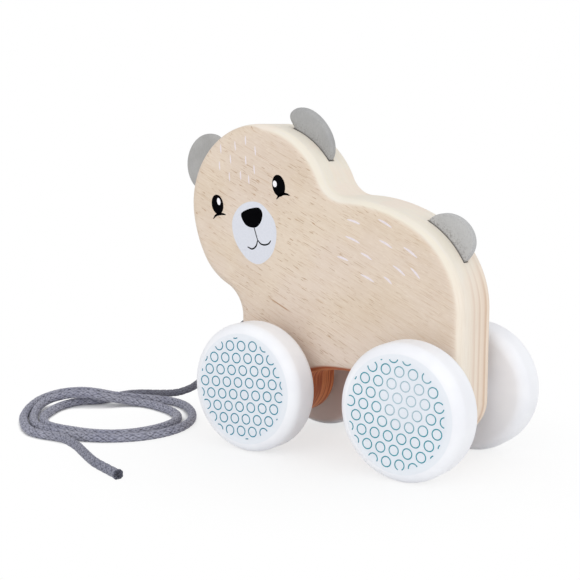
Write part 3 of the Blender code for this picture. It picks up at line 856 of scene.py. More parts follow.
def peg_box(name, board, spare=0.0):
    """A peg under a board's lower end as a box of two rings of corners, grown by `spare` all round."""
    wide = PEG_WIDTH_MM / 2 + spare
    low = -board["depth"] - PEG_DEPTH_MM - spare
    high = -board["depth"] + PEG_ROOT_MM + spare
    x = board["peg_shift"] + np.array((-wide, wide, wide, -wide))
    y = np.array((low, low, high, high))
    thick = PEG_THICKNESS_MM / 2 + spare
    rings = [np.stack((x, y, np.full(4, level)), axis=1) for level in (-thick, thick)]
    return new_piece(name, board_place(board)(np.vstack(rings) * MM), tube_faces(2, 4))


def cylinder(name, radius, centre, reach, axis, points=64):
    """A closed cylinder that reaches this far both ways from a centre, 0 along X and 1 along Y."""
    across = [index for index in range(3) if index != axis]
    rings = np.zeros((2, points, 3)) + np.array(centre)
    rings[:, :, across] += radius * all_round(points)
    rings[:, :, axis] += np.array(((-reach,), (reach,)))
    return new_piece(name, rings, tube_faces(2, points))


for name, board in BOARDS.items():
    print(f"{name}: {2 * board['half_width']} mm wide, {board['height'] + board['depth']:.1f} mm tall")

# %% Cut the plank
def cut(piece, cutters, operation="DIFFERENCE"):
    """Applies exact Boolean cuts, removes the cutters and leaves a plain mesh."""
    for cutter in cutters:
        modifier = piece.modifiers.new(cutter.name, "BOOLEAN")
        modifier.object = cutter
        modifier.operation = operation
    depsgraph = bpy.context.evaluated_depsgraph_get()
    mesh = bpy.data.meshes.new_from_object(piece.evaluated_get(depsgraph))
    piece.modifiers.clear()
    old = piece.data
    piece.data = mesh
    bpy.data.meshes.remove(old)
    for cutter in cutters:
        bpy.data.objects.remove(cutter, do_unlink=True)


AXLE_RADIUS = 4.0 * MM
cutters = []
for place, axle in AXLES.items():
    cutters.append(cylinder(place + "_bore", AXLE_RADIUS + FIT_GAP, axle, 2 * HALF_PLANK, 1))
hole_radius = CORD_DIAMETER / 2 + FIT_GAP
hole_depth = HOLE_DEPTH_MM * MM + FIT_GAP
cutters.append(cylinder("cord_hole", hole_radius, from_middle(hole_mouth), hole_depth, 0))
for name, board in BOARDS.items():
    half = (board["thickness"] / 2 + FIT_GAP_MM) * MM
    flat, normal = board_outline(board, FIT_GAP_MM)
    slot = rounded_board(name + "_slot", flat, normal, half, rounding=0.0, steps=0, place=board_place(board))
    cutters += [slot, peg_box(name + "_mortise", board, FIT_GAP_MM)]
cut(plank, cutters)
report(plank)

# %% [markdown]
# ### Beech
# Beech is a pale, even wood. On the face of a plank sawn across its rays they show as short thin
# brown flecks that lie along the grain, crowded in some places and scarce in others. On the sawn
# edge the growth rings show as long pinkish lines, and where the saw ran along the top it left a
# plain cream with a little pink. In the arch the edge is painted red brown as painted shade, warmed
# by light bounced between the wood's surfaces. On the bear's front the grain of the face also
# shows on the rounded edge.

# %% Colour the beech
GRAIN_TURN = math.radians(-24.5)
DARK_LINE_MM = ((-36.8, 57.9), (-25.2, 52.6))
DARK_LINE_EDGE_MM = (0.05, 0.45)
DARK_LINE_FADES_MM = (1.0, 4.0)
PALE_LEGS_MM = (36.0, 60.0)
FEWER_FLECKS_MM = (0.0, 45.0)
PLAIN_TOP_MM = (58.0, 84.0)
ARCH_SHADE_TOP_MM = (ARCH_HEIGHT / MM + 1.0, ARCH_HEIGHT / MM + 2.5)
ARCH_SHADE_FADES_MM = 8.0
FACE_EDGE_MM = (12.1, 12.92)
FRONT_ROUND_MM = (-36.0, -24.0)
FRONT_REACH_MM = 1.7
RINGS_SHIFT_MM = 12.0
RINGS_WAVER_MM = 2.0
GROWTH_RINGS = (
    (0.0, 241, 230, 214),
    (0.2, 243, 234, 220),
    (0.36, 239, 227, 211),
    (0.43, 229, 210, 192),
    (0.47, 238, 225, 209),
    (0.54, 237, 222, 205),
    (0.58, 222, 200, 180),
    (0.63, 239, 223, 205),
    (0.7, 234, 216, 198),
    (0.76, 214, 185, 160),
    (0.81, 240, 223, 204),
    (0.9, 232, 214, 196),
    (1.0, 226, 208, 190),
)


def grain_noise(recipe, stretch, **settings):
    """Noise turned the way the grain runs: X along it, Z across it."""
    return recipe.noise(stretch, (0.0, GRAIN_TURN, 0.0), **settings)


def dark_line(recipe):
    """1 along one short dark line that follows the grain, fading at both ends."""
    ends = from_middle([(x, 0.0, z) for x, z in DARK_LINE_MM])[:, (0, 2)] / MM
    run, rise = math.cos(GRAIN_TURN), math.sin(GRAIN_TURN)
    start, stop = ends @ (run, rise)
    level = float((ends @ (-rise, run)).mean())
    along, _, across = recipe.parts(recipe.place(turn=(0.0, GRAIN_TURN, 0.0)))
    thin = (across - level).math("ABSOLUTE").fall(*DARK_LINE_EDGE_MM)
    beyond, within = DARK_LINE_FADES_MM
    begun = along.rise(start - beyond, start + within)
    return thin * begun * along.fall(stop - within, stop + beyond)


def grain_face(recipe, x, z):
    """The plank's flat side: warm and pink patches, long streaks, rows of flecks and one dark line."""
    patches = grain_noise(recipe, 0.045, detail=3.0)
    pinks = grain_noise(recipe, 0.028)
    streaks = grain_noise(recipe, (0.04, 0.3, 1.0), detail=4.0, roughness=0.6)
    flecks = grain_noise(recipe, (0.26, 0.4, 2.5), detail=0.5)
    hairs = grain_noise(recipe, (0.1, 0.35, 4.6), detail=1.0)
    glints = grain_noise(recipe, (0.5, 0.35, 3.0), detail=1.0)
    crowds = grain_noise(recipe, (0.05, 0.3, 0.09)).rise(0.36, 0.6)
    fleck_mask = flecks.rise(0.665, 0.708) * (0.3 + 0.7 * crowds) * (1.0 - 0.6 * x.rise(*FEWER_FLECKS_MM))
    face = recipe.paint(
        (219, 201, 180),
        (patches.rise(0.3, 0.7), (227, 211, 192)),
        (pinks.rise(0.45, 0.65) * 0.5, (224, 208, 196)),
        (z.fall(*PALE_LEGS_MM) * 0.7, (229, 213, 201)),
        (streaks.rise(0.4, 0.8) * 0.35, (205, 183, 157)),
        (glints.rise(0.58, 0.68) * 0.3, (236, 224, 208)),
        (hairs.rise(0.62, 0.69) * 0.32, (192, 154, 110)),
        (fleck_mask * 0.62, (168, 124, 76)),
        (dark_line(recipe) * 0.75, (168, 118, 66)),
    )
    return face, streaks, fleck_mask


def sawn_edge(recipe, x, y, z):
    """The plank's narrow side: growth rings across it, plain near the top, red brown painted shade in the
    arch.
    """
    waver = recipe.noise((0.03, 0.2, 0.03))
    layer = (y + RINGS_SHIFT_MM + waver * RINGS_WAVER_MM) / (2 * HALF_PLANK / MM)
    stops = [(place, colour(*tint)) for place, *tint in GROWTH_RINGS]
    lines = recipe.node("ShaderNodeValToRGB", {"stops": stops}, {"Fac": layer})
    fine = recipe.noise((0.12, 3.0, 0.12), detail=3.0)
    top = recipe.noise((0.05, 0.9, 0.05), detail=3.0).rise(0.35, 0.7)
    blush = recipe.noise((0.09, 0.05, 0.09)).rise(0.45, 0.65)
    plain = recipe.paint((236, 229, 213), (top, (234, 228, 217)), (blush * 0.6, (238, 223, 209)))
    front, rear = front_axle.x / MM, rear_axle.x / MM
    between_legs = x.rise(front, front + ARCH_SHADE_FADES_MM) * x.fall(rear - ARCH_SHADE_FADES_MM, rear)
    arch_shade = between_legs * z.fall(*ARCH_SHADE_TOP_MM)
    rings = recipe.noise((0.06, 0.7, 0.06)).rise(0.42, 0.58)
    return recipe.paint(
        lines,
        (fine.rise(0.4, 0.75) * 0.25, (219, 196, 172)),
        (z.rise(*PLAIN_TOP_MM) * 0.92, plain),
        # painted shade in the arch, warmed red brown by light bounced off the wood
        (arch_shade, recipe.paint((172, 90, 48), (rings, (212, 132, 80)))),
    )


def beech_material():
    """The sawn edge, and the grain of the face on both flat sides and round the bear's front."""
    recipe = Recipe("beech")
    x, y, z = recipe.parts(recipe.place())
    face, streaks, fleck_mask = grain_face(recipe, x, z)
    in_front = x.fall(*FRONT_ROUND_MM)
    on_face = (y.math("ABSOLUTE") + in_front * FRONT_REACH_MM).rise(*FACE_EDGE_MM)
    wood = recipe.paint(sawn_edge(recipe, x, y, z), (on_face, face))
    recipe.surface(wood, 0.5 + streaks * 0.15, Specular_IOR_Level=0.3)
    recipe.bump(fleck_mask * -1.0 + streaks * 0.3, 0.12 * MM, 0.5)
    return recipe


def settle_normals(piece, degrees):
    """Smooth shading that stays crisp at edges steeper than this, with flat faces kept flat."""
    piece.data.shade_smooth()
    piece.data.set_sharp_from_angle(angle=math.radians(degrees))
    modifier = piece.modifiers.new("flat_faces_stay_flat", "WEIGHTED_NORMAL")
    modifier.keep_sharp = True
    modifier.weight = 100


settle_normals(plank, degrees=30.0)
beech = beech_material()
dress(plank, beech, "bear")
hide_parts("bear_body")
for name in ("front_axle", "rear_axle"):
    coat(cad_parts[name], beech)

# %% [markdown]
# ## Ears and tail
# Each is an oval of thin board, painted mid grey, whose lower part is let into the plank. The
# ears' edges are sanded nearly half round, the tail's are left crisp. A peg under each oval
# reaches deeper into the plank and holds it. Where a board meets the plank, its grey carries a
# dark line of painted contact shadow and, above it, a speckled band of painted shade. Both follow
# the plank's edge, which is an arc there, so the mask is the distance from the arc's centre less
# its radius.

# %% Cut and round the small boards
BASE_SHADE_REACH_MM = (0.5, 4.5)
CONTACT_SHADOW_MM = (0.0, 0.7)


def painted_grey(name, dark, light, arc):
    """Uneven grey paint with specks, painted shade and a painted contact shadow where it meets the plank's
    edge.
    """
    recipe = Recipe(name)
    centre, radius, _ = circles[arc]
    cloud = recipe.noise(0.12, detail=3.0)
    grain = recipe.noise((2.2, 2.2, 0.5), detail=3.0, roughness=0.6)
    specks = recipe.noise(1.7, detail=3.0, roughness=0.7)
    above = recipe.away_from((centre[0] / MM, 0.0, centre[1] / MM), (1.0, 0.0, 1.0)) - radius / MM
    base_shade = above.fall(*BASE_SHADE_REACH_MM) * specks.rise(0.5, 0.62)
    tone = recipe.paint(
        dark,
        (cloud.rise(0.3, 0.7), light),
        (specks.rise(0.45, 0.75) * 0.3, (140, 139, 137)),
        (grain.rise(0.4, 0.7) * 0.12, (206, 206, 206)),
        # painted shade near the plank, broken up by the specks
        (base_shade * 0.45, (104, 97, 90)),
        # painted contact shadow along the joint with the plank
        (above.fall(*CONTACT_SHADOW_MM) * 0.75, (84, 79, 74)),
    )
    recipe.surface(tone, 0.45 + grain * 0.15, Specular_IOR_Level=0.35)
    recipe.bump(grain + specks, 0.05 * MM, 0.5)
    return recipe


GREYS = {
    "rear_ear": ((160, 160, 160), (170, 170, 169)),
    "front_ear": ((164, 163, 161), (174, 173, 171)),
    "tail": ((181, 181, 181), (189, 189, 188)),
}
for name, board in BOARDS.items():
    flat, normal = board_outline(board)
    half, rounding = board["thickness"] / 2 * MM, board["rounding"] * MM
    piece = rounded_board(name + "_board", flat, normal, half, rounding, BOARD_STEPS, board_place(board))
    cut(piece, [peg_box(name + "_peg", board)], "UNION")
    settle_normals(piece, degrees=40.0)
    dress(piece, painted_grey(name + "_paint", *GREYS[name], board["arc"]), "bear")
    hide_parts(name)
    report(piece)

# %% [markdown]
# ## Wheels
# Each wheel is turned: a flat outer face, a generous round edge, a plain rim and a flat inner
# face with a low boss that keeps it off the plank. The profile is a line of (radius, place along
# the axle) points, and it is carried once round the axis.

# %% Turn the wheels
WHEEL_THICKNESS = 14.8 * MM
WHEEL_ROUNDING = 4.35 * MM
BORE_FLOOR = WHEEL_THICKNESS - 5.2 * MM
BOSS_RADIUS = 8.0 * MM
BOSS_LENGTH = 4.9 * MM
BOSS_ROUNDING = 0.6 * MM
BOSS_FILLET = 0.5 * MM
BORE_CHAMFER = 0.2 * MM
FACE_RINGS = (0.25, 0.5, 0.75, 0.97)
RIM_STEPS = 14
BOSS_STEPS = 5
SPOKE_POINTS = 192


def arc(centre, radius, start, stop, steps):
    """Points of an arc from one angle to another, in degrees."""
    return np.array(centre) + radius * direction(np.linspace(start, stop, steps + 1))


def wheel_profile():
    """(radius, distance from the inner face) from the middle of the outer face to the bore's floor."""
    edge = WHEEL_RADIUS - WHEEL_ROUNDING
    bore = AXLE_RADIUS + FIT_GAP
    boss_edge = (BOSS_RADIUS - BOSS_ROUNDING, BOSS_ROUNDING - BOSS_LENGTH)
    return np.vstack((
        [(edge * share, WHEEL_THICKNESS) for share in FACE_RINGS],
        arc((edge, WHEEL_THICKNESS - WHEEL_ROUNDING), WHEEL_ROUNDING, 90.0, 0.0, RIM_STEPS),
        arc((edge, WHEEL_ROUNDING), WHEEL_ROUNDING, 0.0, -90.0, RIM_STEPS),
        [(edge * FACE_RINGS[-1], 0.0), (BOSS_RADIUS + BOSS_FILLET, 0.0), (BOSS_RADIUS, -BOSS_FILLET)],
        arc(boss_edge, BOSS_ROUNDING, 0.0, -90.0, BOSS_STEPS),
        [(bore + BORE_CHAMFER, -BOSS_LENGTH), (bore, BORE_CHAMFER - BOSS_LENGTH), (bore, BORE_FLOOR)],
    ))


def turned_wheel(name, centre_x, side):
    """The profile's (radius, distance) carried round the axle: x + r cos t, z + r sin t."""
    profile = wheel_profile()
    cosine, sine = all_round(SPOKE_POINTS).T
    radius, distance = profile[:, :1], profile[:, 1:]
    inner_face = WHEEL_OUTER_FACE - WHEEL_THICKNESS
    x = centre_x + radius * cosine
    z = WHEEL_RADIUS + radius * sine
    y = np.broadcast_to(side * (inner_face + distance), x.shape)
    floors = (WHEEL_THICKNESS, BORE_FLOOR)
    poles = [(centre_x, side * (inner_face + floor), WHEEL_RADIUS) for floor in floors]
    points = np.vstack((np.stack((x, y, z), axis=2).reshape(-1, 3), poles))
    rows = len(profile)
    faces = grid_quads(rows, SPOKE_POINTS, closed_columns=True).tolist()
    spoke = np.arange(SPOKE_POINTS)
    after = np.roll(spoke, -1)
    last_row = (rows - 1) * SPOKE_POINTS
    pole = np.full(SPOKE_POINTS, rows * SPOKE_POINTS)
    faces += np.stack((pole, after, spoke), axis=1).tolist()
    faces += np.stack((pole + 1, last_row + spoke, last_row + after), axis=1).tolist()
    return new_piece(name, points, faces)


print("The wheel's profile has", len(wheel_profile()), "points")

# %% [markdown]
# ### White lacquer
# The wheels are white, satin rather than glossy, and the lacquer follows the wood under it with
# a very slight unevenness. The flat outer faces have a pale blue grey ground, on which their
# pattern is printed, and which fades towards the rounded rims. The inner faces of the front
# wheels are painted half way to a warm brown: painted shade, tinted by light bounced off the wood.

# %% Lacquer the wheels
GROUND_FADES_MM = (18.5, 20.3)
OUTER_FACE_MM = (WHEEL_OUTER_FACE / MM - 0.12, WHEEL_OUTER_FACE / MM - 0.03)
INNER_FACE_MM = (WHEEL_OUTER_FACE - WHEEL_THICKNESS) / MM
WARM_SHADE_REACH_MM = (INNER_FACE_MM + 0.3, INNER_FACE_MM + 2.0)


def white_lacquer(name, warm_shade, axle):
    """White with a pale ground on the outer face, and warm painted shade to this share on the inner face."""
    recipe = Recipe(name)
    cloud = recipe.noise(0.08).rise(0.3, 0.7)
    skin = recipe.noise(1.4, detail=3.0, roughness=0.6)
    outwards = recipe.parts(recipe.place())[1].math("ABSOLUTE")
    away = recipe.away_from((axle.x / MM, 0.0, axle.z / MM), (1.0, 0.0, 1.0))
    ground = recipe.paint(
        (226, 231, 238),
        (cloud, (229, 234, 241)),
        (away.rise(*GROUND_FADES_MM) * 0.6, (236, 239, 243)),
    )
    tone = recipe.paint(
        (240, 241, 245),
        (cloud, (245, 246, 249)),
        (outwards.rise(*OUTER_FACE_MM), ground),
        # painted shade on the inner face, warm with light bounced off the wood
        (outwards.fall(*WARM_SHADE_REACH_MM) * warm_shade, (188, 138, 104)),
    )
    recipe.surface(tone, 0.38 + skin * 0.12, Specular_IOR_Level=0.4)
    recipe.bump(skin, 0.03 * MM, 0.4)
    return recipe


lacquers = {
    "front": white_lacquer("front_lacquer", 0.5, front_axle),
    "rear": white_lacquer("rear_lacquer", 0.0, rear_axle),
}
for place, axle in AXLES.items():
    for word, side in SIDES.items():
        name = f"{place}_{word}_wheel"
        wheel = turned_wheel(name + "_turned", axle.x, side)
        settle_normals(wheel, degrees=40.0)
        dress(wheel, lacquers[place], place + "_wheelset")
        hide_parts(name)
report(wheel)

# %% [markdown]
# ### Printed rings
# The wheels' outer faces carry a print of small rings in a honeycomb layout, cut off where it
# meets a circle just inside the rounded edge. Each ring is a thin closed band, so that it stays
# sharp however closely it is looked at. A ring that crosses the circle keeps only the part of
# its band that lies inside.

# %% Print the rings
RING_SPACING_MM = 5.45
RING_RADIUS_MM = 1.85
RING_LINE_MM = 0.42
PRINT_RADIUS_MM = 19.7
RING_ROOT_MM = -0.05
RING_TOP_MM = 0.03
RING_STEPS = 36
FEWEST_STEPS = 3
RING_ROWS = 12
RING_PRINTS = {
    "front": {"turn": 4.22, "offset": (-11.24, 15.88), "middle": (-0.7, 0.2)},
    "rear": {"turn": -3.83, "offset": (-10.25, 16.03), "middle": (-0.95, 0.0)},
}


def ring_centres(turn, offset, middle):
    """A honeycomb lattice: offset + i a + j b, where a and b are one spacing long and 120 degrees apart."""
    a = RING_SPACING_MM * direction(turn)
    b = RING_SPACING_MM * direction(turn - 120.0)
    steps = np.arange(-RING_ROWS, RING_ROWS + 1)
    i, j = np.meshgrid(steps, steps)
    centres = np.array(offset) + i.reshape(-1, 1) * a + j.reshape(-1, 1) * b
    return centres[np.linalg.norm(centres - middle, axis=1) < PRINT_RADIUS_MM + RING_RADIUS_MM]


def ring_band(line, outward, closed):
    """A ring's flat band: its two sides at half its width, from just under the face to just above it."""
    inner, outer = line - outward * RING_LINE_MM / 2, line + outward * RING_LINE_MM / 2
    corners = [(inner, RING_ROOT_MM), (outer, RING_ROOT_MM), (outer, RING_TOP_MM), (inner, RING_TOP_MM)]
    rows = [np.column_stack((side, np.full(len(side), level))) for side, level in corners]
    points = np.stack(rows, axis=1).reshape(-1, 3)
    if closed:
        return points, grid_quads(len(line), 4, closed_rows=True, closed_columns=True).tolist()
    return points, tube_faces(len(line), 4)


def joined(shapes):
    """Several (points, faces) shapes as one, each turned outwards first."""
    all_points, all_faces, start = [], [], 0
    for points, faces in shapes:
        all_points.append(points)
        all_faces += [[index + start for index in face] for face in turned_outwards(points, faces)]
        start += len(points)
    return np.vstack(all_points), all_faces


def ring_shapes(centres, middle):
    """Whole bands for rings inside the print's circle, and open bands for those that cross it."""
    shapes = []
    around = all_round(RING_STEPS)
    for centre in centres:
        line = centre + RING_RADIUS_MM * around
        inside = np.linalg.norm(line - middle, axis=1) < PRINT_RADIUS_MM
        first = int(np.argmax(inside & ~np.roll(inside, 1)))
        order = (first + np.arange(inside.sum())) % RING_STEPS
        if len(order) >= FEWEST_STEPS:
            shapes.append(ring_band(line[order], around[order], inside.all()))
    return shapes


def print_material(name, dark, light, roughness=0.5, shine=0.3, rubbed=None):
    """Ink: two near tones in fine blotches, and a paler one round a place where it is rubbed thin."""
    recipe = Recipe(name)
    blotch = recipe.noise(1.3, detail=3.0)
    ink = recipe.paint(dark, (blotch.rise(0.3, 0.7), light))
    if rubbed:
        centre, reach, paler = rubbed
        close = recipe.away_from(centre).fall(reach * 0.4, reach)
        ink = recipe.paint(ink, (close * 0.75, paler))
    recipe.surface(ink, roughness, Specular_IOR_Level=shine)
    return recipe


RUBBED_MM = (37.2, -33.2, 31.2)
RUBBED_REACH_MM = 14.0
rubbed = (tuple(from_middle(RUBBED_MM) / MM), RUBBED_REACH_MM, (196, 212, 220))
teals = {
    "front": print_material("front_teal_ink", (8, 122, 146), (28, 142, 164)),
    "rear": print_material("rear_teal_ink", (44, 140, 157), (76, 160, 173), rubbed=rubbed),
}
for place, axle in AXLES.items():
    layout = RING_PRINTS[place]
    flat, faces = joined(ring_shapes(ring_centres(**layout), layout["middle"]))
    for word, side in SIDES.items():
        x = axle.x - side * flat[:, 0] * MM
        y = side * (WHEEL_OUTER_FACE + flat[:, 2] * MM)
        z = WHEEL_RADIUS + flat[:, 1] * MM
        rings = new_piece(f"{place}_{word}_rings", np.stack((x, y, z), axis=1), faces)
        dress(rings, teals[place], place + "_wheelset")
report(rings)

# %% [markdown]
# ## Printed face
# The face is printed on the flat left side of the head: two tall black eyes with a white
# highlight and a lash under each, a pale egg-shaped muzzle, a black nose with rounded corners
# and a thin smiling mouth. Short white dashes stand for fur on the forehead and the rump. Each
# print is a closed plate a few hundredths of a millimetre proud of the wood.

# %% Draw filled shapes and lines on the plank
PRINT_LEVELS_MM = {"under": 0.02, "over": 0.035, "top": 0.05}
PRINT_ROOT_MM = -0.1
ELLIPSE_POINTS = 48
STROKE_SWELL = 0.6
STROKE_END_STEPS = 8


def plate(curve, level):
    """A closed plate inside a curve, from just under the wood's face up to this level."""
    count = len(curve)
    heights = (PRINT_ROOT_MM, PRINT_LEVELS_MM[level])
    rows = [np.column_stack((curve, np.full(count, height))) for height in heights]
    return np.vstack(rows), tube_faces(2, count)


def ellipse(centre, top, half_width):
    """An ellipse from its centre and the end of its long axis: c + (top - c) cos t + across sin t."""
    tall = np.subtract(top, centre)
    across = half_width * unit(np.array((tall[1], -tall[0])))
    return centre + all_round(ELLIPSE_POINTS) @ (tall, across)


def stroke(points, width, end_width=0.12, per_span=10):
    """A brush stroke through a few points: its width falls to a share at both ends, as a sine does.

    Half circles close it: end + half width (cos t along + sin t across).
    """
    line = smooth_through(points, per_span)
    run = unit(np.gradient(line, axis=0))
    across = np.stack((-run[:, 1], run[:, 0]), axis=1)
    share = np.linspace(0.0, 1.0, len(line))
    half = width / 2 * (end_width + (1.0 - end_width) * np.sin(np.pi * share) ** STROKE_SWELL)
    half_turn = direction(np.arange(1, STROKE_END_STEPS) * 180.0 / STROKE_END_STEPS)
    far_end = line[-1] + half[-1] * half_turn @ (across[-1], run[-1])
    near_end = line[0] - half[0] * half_turn @ (across[0], run[0])
    sides = (line + across * half[:, None], (line - across * half[:, None])[::-1])
    return np.vstack((sides[0], far_end, sides[1], near_end))


def print_on_plank(name, shapes, recipe):
    """Puts flat shapes, in millimetres from the middle, on the plank's left face."""
    flat, faces = joined(shapes)
    x = MIDDLE_X + flat[:, 0] * MM
    y = -HALF_PLANK - flat[:, 2] * MM
    piece = new_piece(name, np.stack((x, y, flat[:, 1] * MM), axis=1), faces, smooth=False)
    dress(piece, recipe, "bear")
    report(piece)


# %% Print the eyes, muzzle, nose and mouth
black = print_material("black_ink", (2, 2, 4), (6, 6, 8), roughness=0.7, shine=0.02)
white = print_material("white_ink", (246, 243, 247), (250, 248, 250), roughness=0.55)
lilac = print_material("fur_ink", (228, 218, 221), (237, 228, 232), roughness=0.55)
muzzle_white = print_material("muzzle_ink", (216, 219, 227), (221, 223, 231))

EYES_MM = (
    {"centre": (-61.96, 93.35), "top": (-62.96, 97.2), "half_width": 2.95},
    {"centre": (-31.5, 101.7), "top": (-32.61, 105.85), "half_width": 3.0},
)
HIGHLIGHTS_MM = (
    {"centre": (-61.3, 94.55), "top": (-61.65, 95.95), "half_width": 0.85},
    {"centre": (-33.34, 102.36), "top": (-33.6, 103.6), "half_width": 0.95},
)
LASHES_MM = (
    ((-64.24, 87.5), (-62.9, 88.85), (-61.36, 89.45), (-59.4, 89.6), (-57.76, 89.36)),
    ((-32.6, 96.44), (-31.3, 97.8), (-29.72, 98.51), (-27.9, 98.6), (-26.26, 98.12)),
)
MUZZLE_MM = (
    (-54.52, 86.59), (-52.54, 91.1), (-48.99, 94.01), (-44.45, 95.16), (-40.07, 94.35), (-35.95, 91.0),
    (-33.54, 87.61), (-32.6, 83.34), (-33.34, 78.27), (-35.78, 73.81), (-40.9, 70.66), (-46.17, 71.74),
    (-50.67, 75.65), (-53.66, 80.67),
)
NOSE_MM = (
    (-50.03, 89.73), (-47.51, 91.7), (-42.74, 92.87), (-40.48, 92.42), (-39.36, 90.43), (-40.11, 87.46),
    (-42.0, 85.4), (-44.52, 84.89), (-47.91, 85.99),
)
LIP_MM = ((-43.6, 85.2), (-42.7, 82.6), (-41.75, 79.9))
LEFT_SMILE_MM = ((-41.75, 80.1), (-42.6, 77.7), (-44.5, 76.45), (-46.7, 77.1))
RIGHT_SMILE_MM = ((-41.75, 80.1), (-40.3, 78.75), (-38.3, 78.4), (-36.4, 79.0), (-35.4, 80.2))
LASH_WIDTH_MM = 1.05
LIP_WIDTH_MM = 0.42
SMILE_WIDTH_MM = 0.62

eye_shapes = [plate(ellipse(**eye), "over") for eye in EYES_MM]
eye_shapes += [plate(stroke(lash, LASH_WIDTH_MM), "over") for lash in LASHES_MM]
print_on_plank("eyes", eye_shapes, black)
shine = [plate(ellipse(**spot), "top") for spot in HIGHLIGHTS_MM]
print_on_plank("eye_highlights", shine, white)
muzzle_curve = smooth_through(MUZZLE_MM, per_span=12, closed=True)
nose_curve = smooth_through(NOSE_MM, per_span=12, closed=True)
print_on_plank("muzzle", [plate(muzzle_curve, "under")], muzzle_white)
mouth = [stroke(LIP_MM, LIP_WIDTH_MM, end_width=0.8)]
mouth += [stroke(smile, SMILE_WIDTH_MM, end_width=0.55) for smile in (LEFT_SMILE_MM, RIGHT_SMILE_MM)]
print_on_plank("nose_and_mouth", [plate(line, "over") for line in (nose_curve, *mouth)], black)

# %% Print the dashes of fur
FOREHEAD_DASHES_MM = (
    (-60.01, 115.54), (-52.69, 116.79), (-47.53, 118.97), (-42.78, 115.02), (-55.12, 111.54),
    (-47.45, 111.19), (-60.71, 108.8), (-43.32, 107.73), (-55.7, 104.59), (-50.09, 105.19),
    (-46.02, 103.65),
)
RUMP_DASHES_MM = (
    (2.8, 89.4, 5.8, -15.0), (16.3, 89.4, 6.3, -26.0), (2.4, 82.7, 6.7, -20.0), (16.7, 81.9, 6.1, -26.0),
    (27.0, 79.5, 6.6, -32.0), (8.4, 76.9, 5.4, -26.0), (-1.9, 75.4, 5.1, -15.0), (22.4, 72.6, 6.1, -33.0),
    (29.1, 72.1, 5.4, -44.0), (9.0, 68.8, 6.3, -23.0), (17.7, 68.7, 4.3, -36.0),
)
FOREHEAD_DASH = {"length": 3.6, "degrees": 95.0, "width": 0.62, "bend": 0.05}
RUMP_DASH = {"width": 0.82, "bend": 0.2}


def dash(x, z, length, degrees, width, bend):
    """A tapered stroke of this length and direction, bowed sideways by `bend`."""
    along = direction(degrees) * length / 2
    across = unit(np.array((-along[1], along[0])))
    centre = np.array((x, z))
    return stroke((centre - along, centre + across * bend, centre + along), width, end_width=0.2)


forehead = [dash(*place, **FOREHEAD_DASH) for place in FOREHEAD_DASHES_MM]
rump = [dash(*place, **RUMP_DASH) for place in RUMP_DASHES_MM]
print_on_plank("fur_dashes", [plate(line, "under") for line in (*forehead, *rump)], lilac)

# %% [markdown]
# ## Floor and light
# The toy stands on a white floor in soft studio light. Most of the light comes from everywhere,
# with a little more from the right, and three large weak lamps add a soft shine. Seen straight from
# the camera the floor is mostly plain white, which leaves only a pale shadow under the toy. In the
# narrow gaps between the cord's turns it is left dark, as any deep gap looks.

# %% Lay the floor
HALF_FLOOR = 3.0
GAP_REACH = 10.0 * MM
GAP_OPENNESS = (0.42, 0.7)
LOOPS_EDGE_MM = (1.5 * LOOPS_RADIUS_MM, 1.8 * LOOPS_RADIUS_MM)
SHADOW_WHITENESS = 0.68
SHADOW_FADES_MM = (20.0, 120.0)
WHITE = (1.0, 1.0, 1.0, 1.0)
floor_mesh = bpy.data.meshes.new("floor")
corners = [(x * HALF_FLOOR, y * HALF_FLOOR, 0.0) for x, y in ((-1, -1), (1, -1), (1, 1), (-1, 1))]
floor_mesh.from_pydata(corners, [], [(0, 1, 2, 3)])
floor = add_object("floor", floor_mesh)


def seen_directly(recipe):
    """1 where the camera, a mirror or clear material shows a surface, and 0 where it only lights others."""
    path = recipe.node("ShaderNodeLightPath").socket.node.outputs
    rays = [Field(recipe, path[name]) for name in ("Is Camera Ray", "Is Glossy Ray", "Is Transmission Ray")]
    return rays[0].math("MAXIMUM", rays[1]).math("MAXIMUM", rays[2])


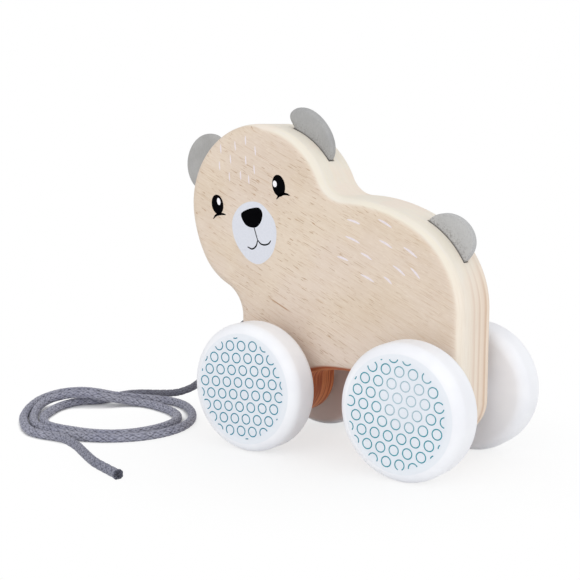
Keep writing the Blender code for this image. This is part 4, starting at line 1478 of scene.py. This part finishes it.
def white_floor():
    """A pale floor that the camera sees as white, but for the toy's shadow and the cord's narrow gaps."""
    recipe = Recipe("white_floor")
    recipe.surface(colour(246, 246, 246), 0.9, Specular_IOR_Level=0.0)
    glow = recipe.node("ShaderNodeEmission", sockets={"Color": WHITE, "Strength": 1.0})
    loops_middle = tuple(from_middle((*LOOPS_CENTRE_MM, 0.0)) / MM)
    near_loops = recipe.away_from(loops_middle).fall(*LOOPS_EDGE_MM)
    openness = recipe.node("ShaderNodeAmbientOcclusion", sockets={"Distance": GAP_REACH}, output="AO")
    between_turns = near_loops * openness.fall(*GAP_OPENNESS)
    beyond = recipe.away_from((0.0, 0.0, 0.0)).rise(*SHADOW_FADES_MM)
    whiteness = SHADOW_WHITENESS + (1.0 - SHADOW_WHITENESS) * beyond
    share = seen_directly(recipe) * whiteness * (1.0 - between_turns)
    base = Field(recipe, recipe.shader.outputs[0])
    mixed = recipe.node("ShaderNodeMixShader", sockets={0: share, 1: base, 2: glow})
    recipe.put(recipe.tree.nodes["Material Output"].inputs["Surface"], mixed)
    return recipe


coat(floor, white_floor())

# %% Light the studio
ROOM_COLOUR = (0.98, 0.985, 1.0, 1.0)
ROOM_LEVEL = 0.81
RIGHT_HAND_SHARE = 0.13
LAMP_AIM = (0.0, 0.0, 0.06)


def light_room():
    """The world: soft light a + b x from the direction (x, y, z), and plain white to the camera."""
    recipe = Recipe("studio", bpy.data.worlds)
    bpy.context.scene.world = recipe.owner
    x, _, _ = recipe.parts(recipe.node("ShaderNodeTexCoord", output="Generated"))
    light = {"Color": ROOM_COLOUR, "Strength": x * RIGHT_HAND_SHARE + ROOM_LEVEL}
    lit = recipe.node("ShaderNodeBackground", sockets=light)
    shown = recipe.node("ShaderNodeBackground", sockets={"Color": WHITE})
    rays = recipe.node("ShaderNodeLightPath", output="Is Camera Ray")
    mixed = recipe.node("ShaderNodeMixShader", sockets={0: rays, 1: lit, 2: shown})
    recipe.put(recipe.tree.nodes["World Output"].inputs["Surface"], mixed)


def soft_lamp(name, place, size, power):
    """A square lamp that faces the toy."""
    data = bpy.data.lights.new(name, "AREA")
    data.size = size
    data.energy = power
    lamp = add_object(name, data)
    lamp.location = place
    facing = Vector(LAMP_AIM) - Vector(place)
    lamp.rotation_euler = facing.to_track_quat("-Z", "Y").to_euler()
    print(f"{name}: {size} m across, {power} W")


light_room()
soft_lamp("top_lamp", (0.35, 0.25, 1.1), size=0.8, power=0.4)
soft_lamp("front_lamp", (0.1, -1.2, 0.7), size=0.9, power=4.0)
soft_lamp("side_lamp", (1.2, -0.2, 0.5), size=0.9, power=1.2)
bpy.context.scene.view_settings.view_transform = "Standard"
